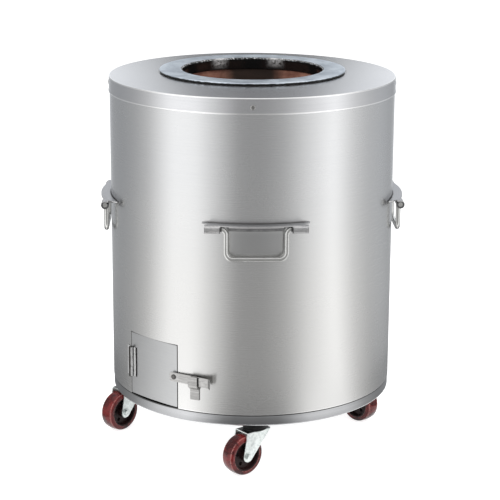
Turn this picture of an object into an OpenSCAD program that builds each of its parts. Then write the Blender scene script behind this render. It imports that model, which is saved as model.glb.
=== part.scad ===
// Clay tandoor oven in a stainless steel drum on four swivel casters.
// The origin is on the drum's axis at the floor, +Z is up, and the front handle faces -Y.
// Azimuths are counted from -Y towards +X. Heights of the body are counted from the base's underside.

/* [Drum] */
// Outside diameter of the drum
drum_d = 710; // [600:5:860]
// Height of the body, from the base's underside to the cover's edge
body_h = 800; // [700:5:1000]
// Thickness of the drum's sheet
shell_t = 1.5; // [1:0.1:2.5]
// Height of the base pan's rim that shows under the drum
rim_h = 28; // [20:1:40]
// Thickness of the base pan's sheet
pan_t = 2; // [1.5:0.1:3]
// Height that the base pan's rim reaches up inside the drum
rim_tuck = 18; // [8:1:30]
// Depth of the cover's folded flange
flange_h = 39; // [25:1:60]
// Thickness of the cover's sheet
cover_t = 1.5; // [1:0.1:2.5]
// Height that the cover rises from its edge to the land under the mouth ring
cover_rise = 7; // [0:0.5:12]

/* [Mouth] */
// Diameter of the mouth's clear opening
mouth_d = 348; // [280:2:380]
// Outside diameter of the mouth ring
ring_d = 462; // [440:2:500]
// Thickness of the mouth ring's plate
ring_t = 5; // [5:0.5:12]
// Thickness of the black seal between the ring and the cover
seal_t = 2; // [1.5:0.5:6]
// Wall of the ring's collar
collar_t = 3; // [2:0.5:5]
// Depth of the collar below the top of the ring
collar_h = 29; // [24:1:45]

/* [Clay pot] */
// Inside radius of the pot at its widest
belly_r = 246; // [205:1:252]
// Inside radius of the pot at its foot
foot_r = 228; // [200:1:240]
// Wall of the pot
pot_wall = 32; // [22:1:36]
// Height of the widest place, as a share of the pot's height
belly_at = 0.36; // [0.25:0.01:0.5]
// Thickness of the firebrick floor
slab_t = 30; // [20:1:45]
// Outside diameter of the charcoal grate
grate_d = 330; // [260:2:340]
// Thickness of the charcoal grate
grate_t = 12; // [8:1:18]
// Height of the firebricks that carry the grate
stand_h = 132; // [126:1:160]
// Width of the firebricks that carry the grate
brick_w = 100; // [70:1:105]
// Number of the firebricks that carry the grate
bricks = 7; // [5:1:7]

/* [Fire door] */
// Azimuth of the door's middle
door_az = -43.2; // [-60:0.1:-35]
// Angle of the drum that the door opening takes
door_span = 26.8; // [22:0.1:28]
// Height of the door opening's top edge
door_top = 190; // [182:1:230]
// Radius of the door panel's curve, flatter than the drum
door_curve = 700; // [500:10:1500]
// Thickness of the door's sheet
door_t = 1.5; // [1:0.1:2.5]
// Gap at the door's hinge side and top
gap_close = 1.2; // [0.8:0.1:2]
// Gap at the door's latch side and foot
gap_open = 2.6; // [1.5:0.1:3.5]
// Depth of the heat shield behind the door
liner_h = 7; // [5:0.5:7.5]
// Clear width of the air duct
duct_w = 128; // [90:1:132]
// Clear height of the air duct
duct_h = 116; // [90:1:118]
// Height of the hinge
hinge_h = 75; // [50:1:100]
// Radius of the hinge's barrel
knuckle_r = 5.25; // [4.5:0.05:6]
// Radius of the hinge pin
pin_r = 3; // [2:0.1:3.5]
// Length of the latch bar right of its pivot
latch_l = 96; // [84:1:104]
// Height of the latch bar
latch_h = 23; // [18:1:28]
// Thickness of the latch bar and its catch
latch_t = 2.5; // [2:0.1:3]
// Width of the catch
catch_w = 24; // [16:1:28]

/* [Handles] */
// Height of the handle plates' top
handle_z = 503; // [300:1:620]
// Azimuth of the front handle
handle_az = 1.8; // [-5:0.1:5]
// Radial reach of the handle plate from the drum
handle_reach = 25; // [20:1:40]
// Width of the handle plate along its chord
handle_w = 254; // [236:2:280]
// Thickness of the handle plate
handle_t = 3; // [2:0.5:5]
// Radius of the bail's rod
rod_r = 6; // [4:0.5:7]
// Distance between the middles of the bail's legs
bail_w = 144; // [110:2:150]
// Drop of the bail below its pivot
bail_drop = 73; // [60:1:100]
// Outside radius of the rolled barrels
barrel_r = 10; // [9:0.5:12]
// Distance of the bail's pivot from the drum
pivot_out = 10; // [9.5:0.5:16]

/* [Casters] */
// Diameter of the wheels
wheel_d = 100; // [75:1:125]
// Width of the wheels' tread
tread_w = 38; // [30:1:42]
// Distance of the swivels inwards from the drum's outside
caster_inset = 40; // [39:1:60]
// Trail of the axle behind the swivel
trail = 38; // [26:1:42]
// Headings of the front, right, rear and left casters
headings = [39, -45, 219, 48];

/* [Hidden] */

$fn = 96;
seat = 0.3;             // gap at a curved seat
fit = 0.3;              // gap between sheet parts that slide together
run = 0.05;             // radial clearance of a pin or shaft that turns
past = 5;               // how far a cutting shape runs past what it cuts
steel = [0.78, 0.79, 0.8];
dark_steel = [0.5, 0.51, 0.52];
zinc = [0.82, 0.84, 0.82];
black = [0.08, 0.08, 0.09];
clay = [0.6, 0.33, 0.24];
firebrick = [0.72, 0.58, 0.45];
maroon = [0.45, 0.12, 0.12];

drum_r = drum_d / 2;
shell_ri = drum_r - shell_t;
cover_ri = drum_r + fit;
cover_ro = cover_ri + cover_t;
mouth_r = mouth_d / 2;
hole_gap = 9;           // gap between the collar and the edge of the cover's hole
cover_top = body_h + cover_rise;
ring_top = cover_top + seal_t + ring_t;
collar_foot = ring_top - collar_h;
cover_hole_r = mouth_r + collar_t + hole_gap;
screw_z = body_h - flange_h / 2 - 2;
screw_az = 0.3;
screw_r = 2.4;
screw_head_r = 6;

pan_ro = drum_r - 1;
tuck_ro = shell_ri - fit;
slab_r = tuck_ro - pan_t - fit;
slab_top = rim_h + slab_t;
pot_top = body_h - cover_t - 2;
pot_h = pot_top - slab_top;
neck_r = mouth_r + collar_t + 2;
grate_seat = 14;        // width of the ledge that the grate rests on
stand_wall = 58;
stand_gap = 6;          // least gap between the bricks and the pot
stand_ri = grate_d / 2 - grate_seat;
stand_ro = min(stand_ri + stand_wall, foot_r - stand_gap - brick_w * brick_w / (8 * foot_r));
grate_z = slab_top + stand_h;

// Door: its own frame faces -Y at door_az, and lengths there run along the chord.
open_half = drum_r * sin(door_span / 2);
open_y = drum_r * cos(door_span / 2);
door_foot = rim_h + gap_open;
door_head = door_top - gap_close;
door_left = -open_half + gap_close;
door_right = open_half - gap_open;
door_centre = open_y - sqrt(door_curve * door_curve - open_half * open_half);
liner_gap = 3;          // gap between the door's skin and its heat shield
liner_front = door_centre + door_curve - door_t - liner_gap;
liner_back = liner_front - liner_h;
duct_gap = 3;           // gap between the heat shield and the duct's flange
duct_face = liner_back - duct_gap;
duct_t = 1.5;
duct_z = slab_top + 2 + duct_t;
duct_end = stand_ri + 2;
pocket_half = open_half + 1.5;
recess = 25;            // depth of the cuts behind the door opening's chord

// Hinge: its own frame has the pin at the origin and -Y outwards.
hinge_az = door_az - door_span / 2 + 1.1;
hinge_r = drum_r + seat + knuckle_r;
hinge_z = 76;
knuckle_h = hinge_h / 3;
leaf_t = 2;
leaf_w = 22;
door_leaf_w = 15;
hinge_x = hinge_r * sin(hinge_az - door_az);
hinge_y = hinge_r * cos(hinge_az - door_az);
door_lean = atan2(hinge_x, hinge_y - door_centre) - (hinge_az - door_az);
door_off = norm([hinge_x, hinge_y - door_centre]) - door_curve;

// Latch: the bar turns on a shoulder rivet near the door's free edge.
latch_az = door_az + door_span / 2 - 1.4;
latch_z = 109;
latch_tail = 12;
latch_r = drum_r + 3;
rivet_r = 4;
rivet_shank_r = 3;
catch_az = latch_az + 9;
catch_foot = 58.6;
catch_in = (latch_r + latch_t) * cos(catch_az - latch_az)
    + ((latch_r + latch_t) * sin(catch_az - latch_az) + catch_w) * sin(catch_az - latch_az) + 0.4;

// Handles: pivot line, barrels and the bail's bends.
plate_ro = drum_r + handle_reach;
pivot_r = drum_r + pivot_out;
pivot_z = handle_z - barrel_r;
bend_r = 12;
corner_r = 18;
barrel_in = bail_w / 2 + bend_r + 0.5;
tab_end = 5;            // length of the plate's tip beyond the barrel
barrel_out = handle_w / 2 - tab_end;
lip_h = 5;
back_h = 18;

// Casters: heights count from the floor.
caster_azs = [for (a = [0, 90, 180, -90]) a + handle_az];
caster_r = drum_r - caster_inset;
wheel_r = wheel_d / 2;
wheel_gap = 5;          // gap between the wheel and the fork's crown
crown_t = 6;
head_h = 14;
head_gap = 2;           // gap between the fork's crown and the swivel head
crown_top = wheel_d + wheel_gap + crown_t;
head_foot = crown_top + head_gap;
caster_h = head_foot + head_h;
tread_t = 12;
hub_r = wheel_r - tread_t;
leg_in = tread_w / 2 + 2;
leg_t = 3;
crown_w = 72;
crown_lead = 4;         // how far the crown's plate is set from the swivel towards the axle
boss_r = 14;
axle_r = 5;
stem_r = 6;
stem_gap = 0.5;
kingpin_r = 7;
race_r = 22;
ball_r = 3;
race_z = crown_top + head_gap / 2;
head_r = 29;
head_round = 6;
pad_r = 30;
pad_t = 6;
nut_h = 10;

// The point where a tangent from p touches the circle of radius r round c, on the given side.
function tangent_point(p, c, r, side) =
    let (d = norm(p - c), a = atan2(p.y - c.y, p.x - c.x) + side * acos(r / d))
    c + r * [cos(a), sin(a)];

// Points of an arc round c from angle a to angle b.
function arc(c, r, a, b, n = 8) =
    [for (i = [0:n]) c + r * [cos(a + (b - a) * i / n), sin(a + (b - a) * i / n)]];

// Inside radius of the pot at share s of its height: it swells to the belly and draws in to the neck.
function pot_ri(s) = s < belly_at
    ? foot_r + (belly_r - foot_r) * sin(90 * s / belly_at)
    : neck_r + (belly_r - neck_r) * (1 + cos(180 * (s - belly_at) / (1 - belly_at))) / 2;

pot_steps = 24;
pot_inner = [for (i = [0:pot_steps]) [pot_ri(i / pot_steps), slab_top + pot_h * i / pot_steps]];
function pot_outer(extra) =
    [for (i = [pot_steps:-1:0]) [pot_ri(i / pot_steps) + pot_wall + extra, slab_top + pot_h * i / pot_steps]];

// Puts children at azimuth a, radius r and height z, facing outwards along -Y.
module at_az(a, r = 0, z = 0) {
    rotate([0, 0, a])
        translate([0, -r, z])
            children();
}

// Raises children from the floor to the base's underside.
module on_base() {
    translate([0, 0, caster_h])
        children();
}

// A box between two corners.
module block(low, high) {
    translate(low)
        cube(high - low);
}

// A tube along Z.
module tube(ro, ri, h) {
    difference() {
        cylinder(r = ro, h = h);
        translate([0, 0, -1])
            cylinder(r = ri, h = h + 2);
    }
}

// A cylinder that points outwards, along -Y.
module outward(r, h) {
    rotate([90, 0, 0])
        cylinder(r = r, h = h);
}

// ---- Drum, cover and mouth ----

module drum_shell() {
    color(steel)
        on_base()
            difference() {
                translate([0, 0, rim_h])
                    tube(drum_r, shell_ri, body_h - cover_t - rim_h);
                at_az(door_az)
                    block([-open_half, -drum_r - past, rim_h - 1], [open_half, -open_y + recess, door_top]);
                screw_holes();
            }
}

module top_cover() {
    land_r = ring_d / 2 + 4;
    color(steel)
        on_base()
            difference() {
                rotate_extrude()
                    polygon(concat(
                        [[cover_hole_r, cover_top - cover_t], [land_r, cover_top - cover_t]],
                        [[cover_ri, body_h - cover_t], [cover_ri, body_h - flange_h]],
                        [[cover_ro, body_h - flange_h]],
                        arc([cover_ro - 2, body_h - 2], 2, 0, 90, 6),
                        [[land_r, cover_top], [cover_hole_r, cover_top]]));
                screw_holes();
            }
}

module at_screws() {
    for (a = [0:90:270])
        at_az(a + screw_az, 0, screw_z)
            children();
}

module screw_holes() {
    at_screws()
        translate([0, -drum_r + 12, 0])
            outward(screw_r + 0.2, 20);
}

module cover_screws() {
    rim = 1.4;
    crown = 1.1;
    shank = 8;
    color(steel)
        on_base()
            at_screws() {
                translate([0, -cover_ro + shank, 0])
                    outward(screw_r, shank + 1);
                translate([0, -cover_ro, 0])
                    outward(screw_head_r, rim);
                translate([0, -cover_ro - rim, 0])
                    rotate([90, 0, 0])
                        cylinder(r1 = screw_head_r, r2 = screw_head_r - 1.2, h = crown);
            }
}

module mouth_ring() {
    edge = 2;
    lip = 4;
    plate_foot = ring_top - ring_t;
    color([0.62, 0.66, 0.7])
        on_base()
            rotate_extrude()
                polygon(concat(
                    [[mouth_r, collar_foot], [mouth_r + collar_t, collar_foot]],
                    [[mouth_r + collar_t, plate_foot], [ring_d / 2 - edge, plate_foot]],
                    arc([ring_d / 2 - edge, plate_foot + edge], edge, -90, 0, 5),
                    arc([ring_d / 2 - edge, ring_top - edge], edge, 0, 90, 5),
                    arc([mouth_r + lip, ring_top - lip], lip, 90, 180, 6)));
}

module ring_seal() {
    seal_in = 2;
    seal_w = 18;
    color(black)
        on_base()
            translate([0, 0, cover_top])
                tube(ring_d / 2 - seal_in, ring_d / 2 - seal_in - seal_w, seal_t);
}

// ---- Clay pot, its floor and grate ----

// The space that the air duct needs through the masonry, in the body's frame.
module duct_space(gap) {
    at_az(door_az) {
        block([-duct_w / 2 - duct_t - gap, -duct_face - 1, duct_z - duct_t - gap],
            [duct_w / 2 + duct_t + gap, -duct_end + duct_gap, duct_z + duct_h + duct_t + gap]);
        block([-pocket_half, -drum_r - past, rim_h - 1],
            [pocket_half, -duct_face + duct_t + seat, door_top + 2]);
    }
}

module clay_pot() {
    color(clay)
        on_base()
            difference() {
                rotate_extrude()
                    polygon(concat(pot_inner, pot_outer(0)));
                duct_space(0.6);
            }
}

module insulation() {
    top = pot_top + 1;
    color([0.85, 0.83, 0.78])
        on_base()
            difference() {
                rotate_extrude()
                    polygon(concat(
                        [[tuck_ro - pan_t - fit, slab_top], [tuck_ro - pan_t - fit, slab_top + 1]],
                        [[shell_ri - seat, slab_top + 1], [shell_ri - seat, top]],
                        [[pot_ri(1) + pot_wall + seat, top]],
                        pot_outer(seat)));
                duct_space(0.6);
                at_screws()
                    translate([0, -shell_ri + 12, 0])
                        outward(3.2, 20);
            }
}

module floor_slab() {
    color(firebrick)
        on_base()
            difference() {
                translate([0, 0, rim_h])
                    cylinder(r = slab_r, h = slab_t);
                duct_space(0);
            }
}

// Bricks stand on end in a ring that leaves the duct's mouth free, spaced evenly from one side of it to
// the other.
module grate_stand() {
    clear = duct_w / 2 + duct_t + 1;
    corner = norm([stand_ri, brick_w / 2]);
    first = asin(clear / corner) + atan2(brick_w / 2, stand_ri);
    pitch = (360 - 2 * first) / (bricks - 1);
    color(firebrick)
        on_base()
            for (k = [0:bricks - 1])
                at_az(door_az + first + k * pitch)
                    block([-brick_w / 2, -stand_ro, slab_top], [brick_w / 2, -stand_ri, slab_top + stand_h]);
}

module charcoal_grate() {
    grate_r = grate_d / 2;
    rim = 14;
    bar = 9;
    pitch = 22;
    spine = 8;
    rows = floor((grate_r - rim - 6) / pitch);
    color([0.2, 0.2, 0.21])
        on_base()
            translate([0, 0, grate_z])
                difference() {
                    cylinder(r = grate_r, h = grate_t);
                    for (i = [-rows:rows], side = [-1, 1]) {
                        reach = sqrt((grate_r - rim) * (grate_r - rim) - i * i * pitch * pitch) - spine;
                        translate([i * pitch, side * (reach + spine) / 2, grate_t / 2])
                            cube([pitch - bar, reach - spine, grate_t + 2], center = true);
                    }
                }
}

// ---- Base ----

module base_pan() {
    bend = 5;
    color(dark_steel)
        on_base()
            difference() {
                rotate_extrude()
                    polygon(concat(
                        [[0, 0]],
                        arc([pan_ro - bend, bend], bend, -90, 0, 6),
                        [[pan_ro, rim_h], [tuck_ro, rim_h], [tuck_ro, rim_h + rim_tuck]],
                        [[tuck_ro - pan_t, rim_h + rim_tuck], [tuck_ro - pan_t, rim_h - 2]],
                        [[pan_ro - pan_t, rim_h - 2]],
                        arc([pan_ro - bend, bend], bend - pan_t, 0, -90, 6),
                        [[0, pan_t]]));
                at_az(door_az)
                    block([-pocket_half, -drum_r - past, rim_h],
                        [pocket_half, -open_y + recess, rim_h + rim_tuck + 1]);
                at_casters()
                    translate([0, 0, -1])
                        cylinder(r = stem_r + stem_gap, h = pan_t + 2);
            }
}

module base_frame() {
    leg = rim_h - pan_t;
    bar_w = 28;
    bar_t = 3;
    nut_space = 13;
    reach = caster_r - pad_r + 6;
    color(dark_steel)
        on_base()
            translate([0, 0, pan_t])
                difference() {
                    union() {
                        for (a = [0, 90])
                            rotate([0, 0, a + handle_az]) {
                                block([-reach, -bar_w / 2, 0], [reach, bar_w / 2, bar_t]);
                                block([-reach, -bar_t / 2, 0], [reach, bar_t / 2, leg]);
                            }
                        at_casters()
                            cylinder(r = pad_r, h = pad_t);
                    }
                    at_casters() {
                        translate([0, 0, -1])
                            cylinder(r = stem_r + stem_gap, h = pad_t + 2);
                        translate([0, 0, pad_t])
                            cylinder(r = nut_space, h = leg);
                    }
                }
}

// ---- Fire door, duct, hinge and latch ----

module air_duct() {
    flange = open_half - 4;
    out_w = duct_w / 2 + duct_t;
    color(steel)
        on_base()
            at_az(door_az)
                difference() {
                    union() {
                        block([-out_w, -duct_face, duct_z - duct_t],
                            [out_w, -duct_end, duct_z + duct_h + duct_t]);
                        block([-flange, -duct_face, rim_h + 2], [flange, -duct_face + duct_t, door_top - 1]);
                    }
                    block([-duct_w / 2, -duct_face - 1, duct_z],
                        [duct_w / 2, -duct_end + 1, duct_z + duct_h]);
                }
}

module door_panel() {
    color(steel)
        on_base()
            difference() {
                at_az(door_az)
                    intersection() {
                        translate([0, -door_centre, door_foot - 1])
                            rotate([0, 0, -90])
                                tube(door_curve, door_curve - door_t, door_head - door_foot + 2);
                        block([door_left, -drum_r - past, door_foot],
                            [door_right, -open_y + recess, door_head]);
                    }
                at_az(latch_az, drum_r - recess, latch_z)
                    outward(rivet_shank_r + 0.2, 2 * recess);
            }
}

module door_liner() {
    edge = 16;
    skin = 1.2;
    stud_r = 4;
    low = [door_left + edge, -liner_front, door_foot + 12];
    high = [door_right - edge, -liner_back, door_head - 10];
    color(steel)
        on_base()
            at_az(door_az)
                difference() {
                    union() {
                        difference() {
                            block(low, high);
                            block(low + [skin, -1, skin], high - [skin, skin, skin]);
                        }
                        for (x = [low.x + 14, high.x - 14], z = [low.z + 20, high.z - 20])
                            translate([x, -liner_back, z])
                                outward(stud_r, liner_h + liner_gap);
                    }
                    translate([0, -door_centre, door_foot - 1])
                        rotate([0, 0, -90])
                            tube(door_curve + recess, door_curve - door_t - seat, door_head);
                }
}

// Puts children at the hinge pin, with -Y outwards.
module at_hinge(turn = 0) {
    on_base()
        at_az(hinge_az, hinge_r, hinge_z)
            rotate([0, 0, turn])
                children();
}

module hinge_fixed_leaf() {
    gap = 0.3;
    color(steel)
        at_hinge()
            difference() {
                union() {
                    block([-leaf_w, knuckle_r - leaf_t, 0], [-knuckle_r - 0.5, knuckle_r, hinge_h]);
                    for (z = [0, 2 * knuckle_h + gap]) {
                        translate([0, 0, z])
                            cylinder(r = knuckle_r, h = knuckle_h - gap);
                        block([-knuckle_r - 1, knuckle_r - leaf_t, z], [0, knuckle_r, z + knuckle_h - gap]);
                    }
                }
                translate([0, 0, -1])
                    cylinder(r = pin_r + run, h = hinge_h + 2);
            }
}

module hinge_door_leaf() {
    gap = 0.3;
    face = door_off - seat;
    color(steel)
        at_hinge(door_lean)
            difference() {
                union() {
                    block([knuckle_r + 0.8, face - leaf_t, 0], [door_leaf_w, face, hinge_h]);
                    translate([0, 0, knuckle_h + gap])
                        cylinder(r = knuckle_r, h = knuckle_h - 2 * gap);
                    block([0, face - leaf_t, knuckle_h + gap], [knuckle_r + 1, face, 2 * knuckle_h - gap]);
                }
                translate([0, 0, -1])
                    cylinder(r = pin_r + run, h = hinge_h + 2);
            }
}

module hinge_pin() {
    cap = 1.6;
    color(dark_steel)
        at_hinge() {
            cylinder(r = pin_r, h = hinge_h);
            for (z = [-cap, hinge_h])
                translate([0, 0, z])
                    cylinder(r = pin_r + 1.2, h = cap);
        }
}

module latch_bar() {
    bend = 9;
    tip = 7;
    turn = 35;
    centre = [latch_l, -latch_r - latch_t - bend];
    lean = tip * [sin(turn), -cos(turn)];
    across = [cos(turn), sin(turn)];
    color(steel)
        on_base()
            at_az(latch_az, 0, latch_z)
                difference() {
                    translate([0, 0, -latch_h / 2])
                        linear_extrude(latch_h)
                            polygon(concat(
                                [[-latch_tail, -latch_r - latch_t], [-latch_tail, -latch_r]],
                                arc(centre, bend + latch_t, 90, turn, 6),
                                [centre + (bend + latch_t) * across + lean, centre + bend * across + lean],
                                arc(centre, bend, turn, 90, 6)));
                    translate([0, -latch_r + 1, 0])
                        outward(rivet_r + run, latch_t + 2);
                }
}

module latch_rivet() {
    head_r = 6.5;
    head_h = 2.2;
    foot = drum_r + 0.6;
    head_foot = latch_r + latch_t + 0.2;
    color(steel)
        on_base()
            at_az(latch_az, 0, latch_z) {
                translate([0, -foot + 6, 0])
                    outward(rivet_shank_r, 7);
                translate([0, -foot, 0])
                    outward(head_r, latch_r - foot - 0.2);
                translate([0, -foot, 0])
                    outward(rivet_r, head_foot - foot + 0.1);
                translate([0, -head_foot, 0])
                    rotate([90, 0, 0])
                        cylinder(r1 = head_r, r2 = head_r - 2, h = head_h);
            }
}

module latch_catch() {
    flat = drum_r + seat;
    knee = 86;
    shelf = 96;
    top = latch_z + latch_h / 2;
    slope = latch_t * 0.5;
    color(steel)
        on_base()
            at_az(catch_az)
                translate([-catch_w / 2, 0, 0])
                    rotate([90, 0, 90])
                        linear_extrude(catch_w)
                            polygon([
                                [-flat, catch_foot], [-flat - latch_t, catch_foot],
                                [-flat - latch_t, knee - slope], [-catch_in - latch_t, shelf - slope],
                                [-catch_in - latch_t, top], [-catch_in, top],
                                [-catch_in, shelf], [-flat, knee]]);
}

// ---- Handles ----

module handle_bracket(i) {
    half = handle_w / 2;
    wall_half = bail_w / 2 - rod_r - 2;
    weld_r = drum_r + seat;
    end_y = sqrt(drum_r * drum_r - half * half) + 4;
    chamfer = 22;
    lip_t = 2.5;
    back_t = 2;
    color(steel)
        on_base()
            at_az(handle_az + 90 * i)
                difference() {
                    union() {
                        translate([0, 0, handle_z - handle_t])
                            linear_extrude(handle_t)
                                intersection() {
                                    ring_2d(plate_ro, weld_r);
                                    polygon([
                                        [-half, -end_y + 40], [-half, -end_y],
                                        [-half + chamfer, -plate_ro - 1], [half - chamfer, -plate_ro - 1],
                                        [half, -end_y], [half, -end_y + 40]]);
                                }
                        arc_wall(plate_ro, plate_ro - lip_t, wall_half, lip_h);
                        arc_wall(weld_r + back_t, weld_r, wall_half, back_h);
                        for (side = [0, 1])
                            mirror([side, 0, 0]) {
                                translate([barrel_in, -pivot_r, pivot_z])
                                    rotate([0, 90, 0])
                                        cylinder(r = barrel_r, h = barrel_out - barrel_in);
                                block([barrel_in, -pivot_r, handle_z - handle_t],
                                    [barrel_out, -pivot_r + 12, handle_z]);
                            }
                    }
                    for (side = [0, 1])
                        mirror([side, 0, 0])
                            translate([barrel_in - 5, -pivot_r, pivot_z])
                                rotate([0, 90, 0])
                                    cylinder(r = rod_r + 0.08, h = barrel_out - barrel_in + 10);
                }
}

module ring_2d(ro, ri) {
    difference() {
        circle(r = ro);
        circle(r = ri);
    }
}

// A curved wall that hangs down from the handle plate, between chords at -x and +x.
module arc_wall(ro, ri, x, h) {
    translate([0, 0, handle_z - h])
        linear_extrude(h)
            intersection() {
                ring_2d(ro, ri);
                translate([-x, -ro - 1])
                    square([2 * x, 60]);
            }
}

// A quarter bend of the rod in the XZ plane, from angle a to a + 90 round its centre.
module rod_bend(centre, r, a) {
    translate([centre.x, 0, centre.y])
        rotate([90, -a, 0])
            rotate_extrude(angle = 90)
                translate([r, 0])
                    circle(r = rod_r);
}

module handle_bail(i) {
    leg = bail_w / 2;
    color(zinc)
        on_base()
            at_az(handle_az + 90 * i, pivot_r, pivot_z) {
                for (side = [0, 1])
                    mirror([side, 0, 0]) {
                        translate([leg + bend_r, 0, 0])
                            rotate([0, 90, 0])
                                cylinder(r = rod_r, h = barrel_out - leg - bend_r - 1);
                        rod_bend([leg + bend_r, -bend_r], bend_r, 90);
                        translate([leg, 0, -bail_drop + corner_r])
                            cylinder(r = rod_r, h = bail_drop - corner_r - bend_r);
                        rod_bend([leg - corner_r, -bail_drop + corner_r], corner_r, 270);
                    }
                translate([-leg + corner_r, 0, -bail_drop])
                    rotate([0, 90, 0])
                        cylinder(r = rod_r, h = 2 * (leg - corner_r));
            }
}

// ---- Casters ----

module at_casters() {
    for (a = caster_azs)
        at_az(a, caster_r)
            children();
}

// Puts children at caster i's swivel, with the axle along Y and the trail along -X.
module at_caster(i) {
    p = caster_r * [sin(caster_azs[i]), -cos(caster_azs[i])];
    translate([p.x, p.y, 0])
        rotate([0, 0, headings[i]])
            children();
}

module caster_nuts() {
    color(zinc)
        on_base()
            at_casters()
                translate([0, 0, pan_t + pad_t])
                    difference() {
                        cylinder(r = 10.4, h = nut_h, $fn = 6);
                        translate([0, 0, -1])
                            cylinder(r = stem_r + run, h = nut_h + 2);
                    }
}

module caster_head(i) {
    flange_t = 3;
    flange_foot = crown_top - crown_t - 4;
    color(black)
        at_caster(i)
            difference() {
                union() {
                    translate([0, 0, flange_foot])
                        cylinder(r = kingpin_r, h = caster_h - flange_foot);
                    translate([0, 0, flange_foot - flange_t])
                        cylinder(r = kingpin_r + 4, h = flange_t);
                    translate([0, 0, head_foot])
                        rotate_extrude()
                            polygon(concat(
                                [[0, 0], [head_r, 0]],
                                arc([head_r - head_round, head_h - head_round], head_round, 0, 90, 6),
                                [[0, head_h]]));
                    translate([0, 0, caster_h])
                        cylinder(r = stem_r, h = pan_t + pad_t + nut_h + 3);
                }
                race();
            }
}

// The ball race's groove, cut half into the head and half into the fork's crown.
module race() {
    translate([0, 0, race_z])
        rotate_extrude()
            translate([race_r, 0])
                circle(r = ball_r + 0.1);
}

module caster_balls(i) {
    count = 14;
    color(zinc)
        at_caster(i)
            for (k = [0:count - 1])
                rotate([0, 0, 360 * k / count])
                    translate([race_r, 0, race_z])
                        sphere(r = ball_r);
}

module caster_fork(i) {
    axle = [-trail, wheel_r];
    left = [-crown_w / 2 - crown_lead, crown_top - 1];
    right = [crown_w / 2 - crown_lead, crown_top - 1];
    color(zinc)
        at_caster(i)
            difference() {
                union() {
                    translate([0, 0, crown_top - crown_t])
                        cylinder(r = head_r, h = crown_t);
                    block([left.x, -leg_in - leg_t, crown_top - 4],
                        [right.x, leg_in + leg_t, crown_top - 1]);
                    for (y = [-leg_in, leg_in + leg_t])
                        translate([0, y, 0])
                            rotate([90, 0, 0])
                                linear_extrude(leg_t) {
                                    translate(axle)
                                        circle(r = boss_r);
                                    polygon([
                                        left, right,
                                        tangent_point(right, axle, boss_r, -1),
                                        tangent_point(left, axle, boss_r, 1)]);
                                }
                }
                translate([-trail, leg_in + leg_t + 1, wheel_r])
                    outward(axle_r + 0.1, 2 * (leg_in + leg_t + 1));
                translate([0, 0, crown_top - crown_t - 1])
                    cylinder(r = kingpin_r + run, h = crown_t + 2);
                race();
            }
}

module caster_axle(i) {
    half = leg_in + leg_t;
    hex_r = 8.6;
    head = 6.4;
    nut = 8;
    color(zinc)
        at_caster(i)
            translate([-trail, 0, wheel_r])
                rotate([90, 0, 0]) {
                    translate([0, 0, -half - nut - 1])
                        cylinder(r = axle_r, h = 2 * half + nut + 1);
                    translate([0, 0, half])
                        cylinder(r = hex_r, h = head, $fn = 6);
                    translate([0, 0, -half - nut])
                        cylinder(r = hex_r, h = nut, $fn = 6);
                }
}

module caster_hub(i) {
    half = leg_in - 0.5;
    boss = 14;
    web = 9;
    rim = 6;
    hole_r = 5;
    color([0.16, 0.15, 0.15])
        at_caster(i)
            translate([-trail, 0, wheel_r])
                rotate([90, 0, 0])
                    difference() {
                        rotate_extrude()
                            polygon([
                                [axle_r + run, -half], [boss - 2, -half], [boss, -web], [hub_r - rim, -web],
                                [hub_r - rim / 2, -tread_w / 2 + 1], [hub_r, -tread_w / 2 + 1],
                                [hub_r, tread_w / 2 - 1], [hub_r - rim / 2, tread_w / 2 - 1],
                                [hub_r - rim, web], [boss, web], [boss - 2, half], [axle_r + run, half]]);
                        for (k = [0:4])
                            rotate([0, 0, 72 * k + 20])
                                translate([(boss + hub_r - rim) / 2, 0, -half])
                                    cylinder(r = hole_r, h = 2 * half);
                    }
}

module caster_tread(i) {
    half = tread_w / 2;
    round_r = 6;
    crown = 1.2;
    color(maroon)
        at_caster(i)
            translate([-trail, 0, wheel_r])
                rotate([90, 0, 0])
                    rotate_extrude()
                        polygon(concat(
                            [[hub_r + 0.1, -half]],
                            arc([wheel_r - crown - round_r, -half + round_r], round_r, -90, -8, 7),
                            [[wheel_r, 0]],
                            arc([wheel_r - crown - round_r, half - round_r], round_r, 8, 90, 7),
                            [[hub_r + 0.1, half]]));
}

drum_shell();
top_cover();
cover_screws();
mouth_ring();
ring_seal();
clay_pot();
insulation();
floor_slab();
grate_stand();
charcoal_grate();
base_pan();
base_frame();
air_duct();
door_panel();
door_liner();
hinge_fixed_leaf();
hinge_door_leaf();
hinge_pin();
latch_bar();
latch_rivet();
latch_catch();
handle_bracket(0);  // handle_bracket_front
handle_bracket(1);  // handle_bracket_right
handle_bracket(2);  // handle_bracket_rear
handle_bracket(3);  // handle_bracket_left
handle_bail(0);  // handle_bail_front
handle_bail(1);  // handle_bail_right
handle_bail(2);  // handle_bail_rear
handle_bail(3);  // handle_bail_left
caster_nuts();
caster_head(0);  // caster_head_front
caster_head(1);  // caster_head_right
caster_head(2);  // caster_head_rear
caster_head(3);  // caster_head_left
caster_balls(0);  // caster_balls_front
caster_balls(1);  // caster_balls_right
caster_balls(2);  // caster_balls_rear
caster_balls(3);  // caster_balls_left
caster_fork(0);  // caster_fork_front
caster_fork(1);  // caster_fork_right
caster_fork(2);  // caster_fork_rear
caster_fork(3);  // caster_fork_left
caster_axle(0);  // caster_axle_front
caster_axle(1);  // caster_axle_right
caster_axle(2);  // caster_axle_rear
caster_axle(3);  // caster_axle_left
caster_hub(0);  // caster_hub_front
caster_hub(1);  // caster_hub_right
caster_hub(2);  // caster_hub_rear
caster_hub(3);  // caster_hub_left
caster_tread(0);  // caster_tread_front
caster_tread(1);  // caster_tread_right
caster_tread(2);  // caster_tread_rear
caster_tread(3);  // caster_tread_left
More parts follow.
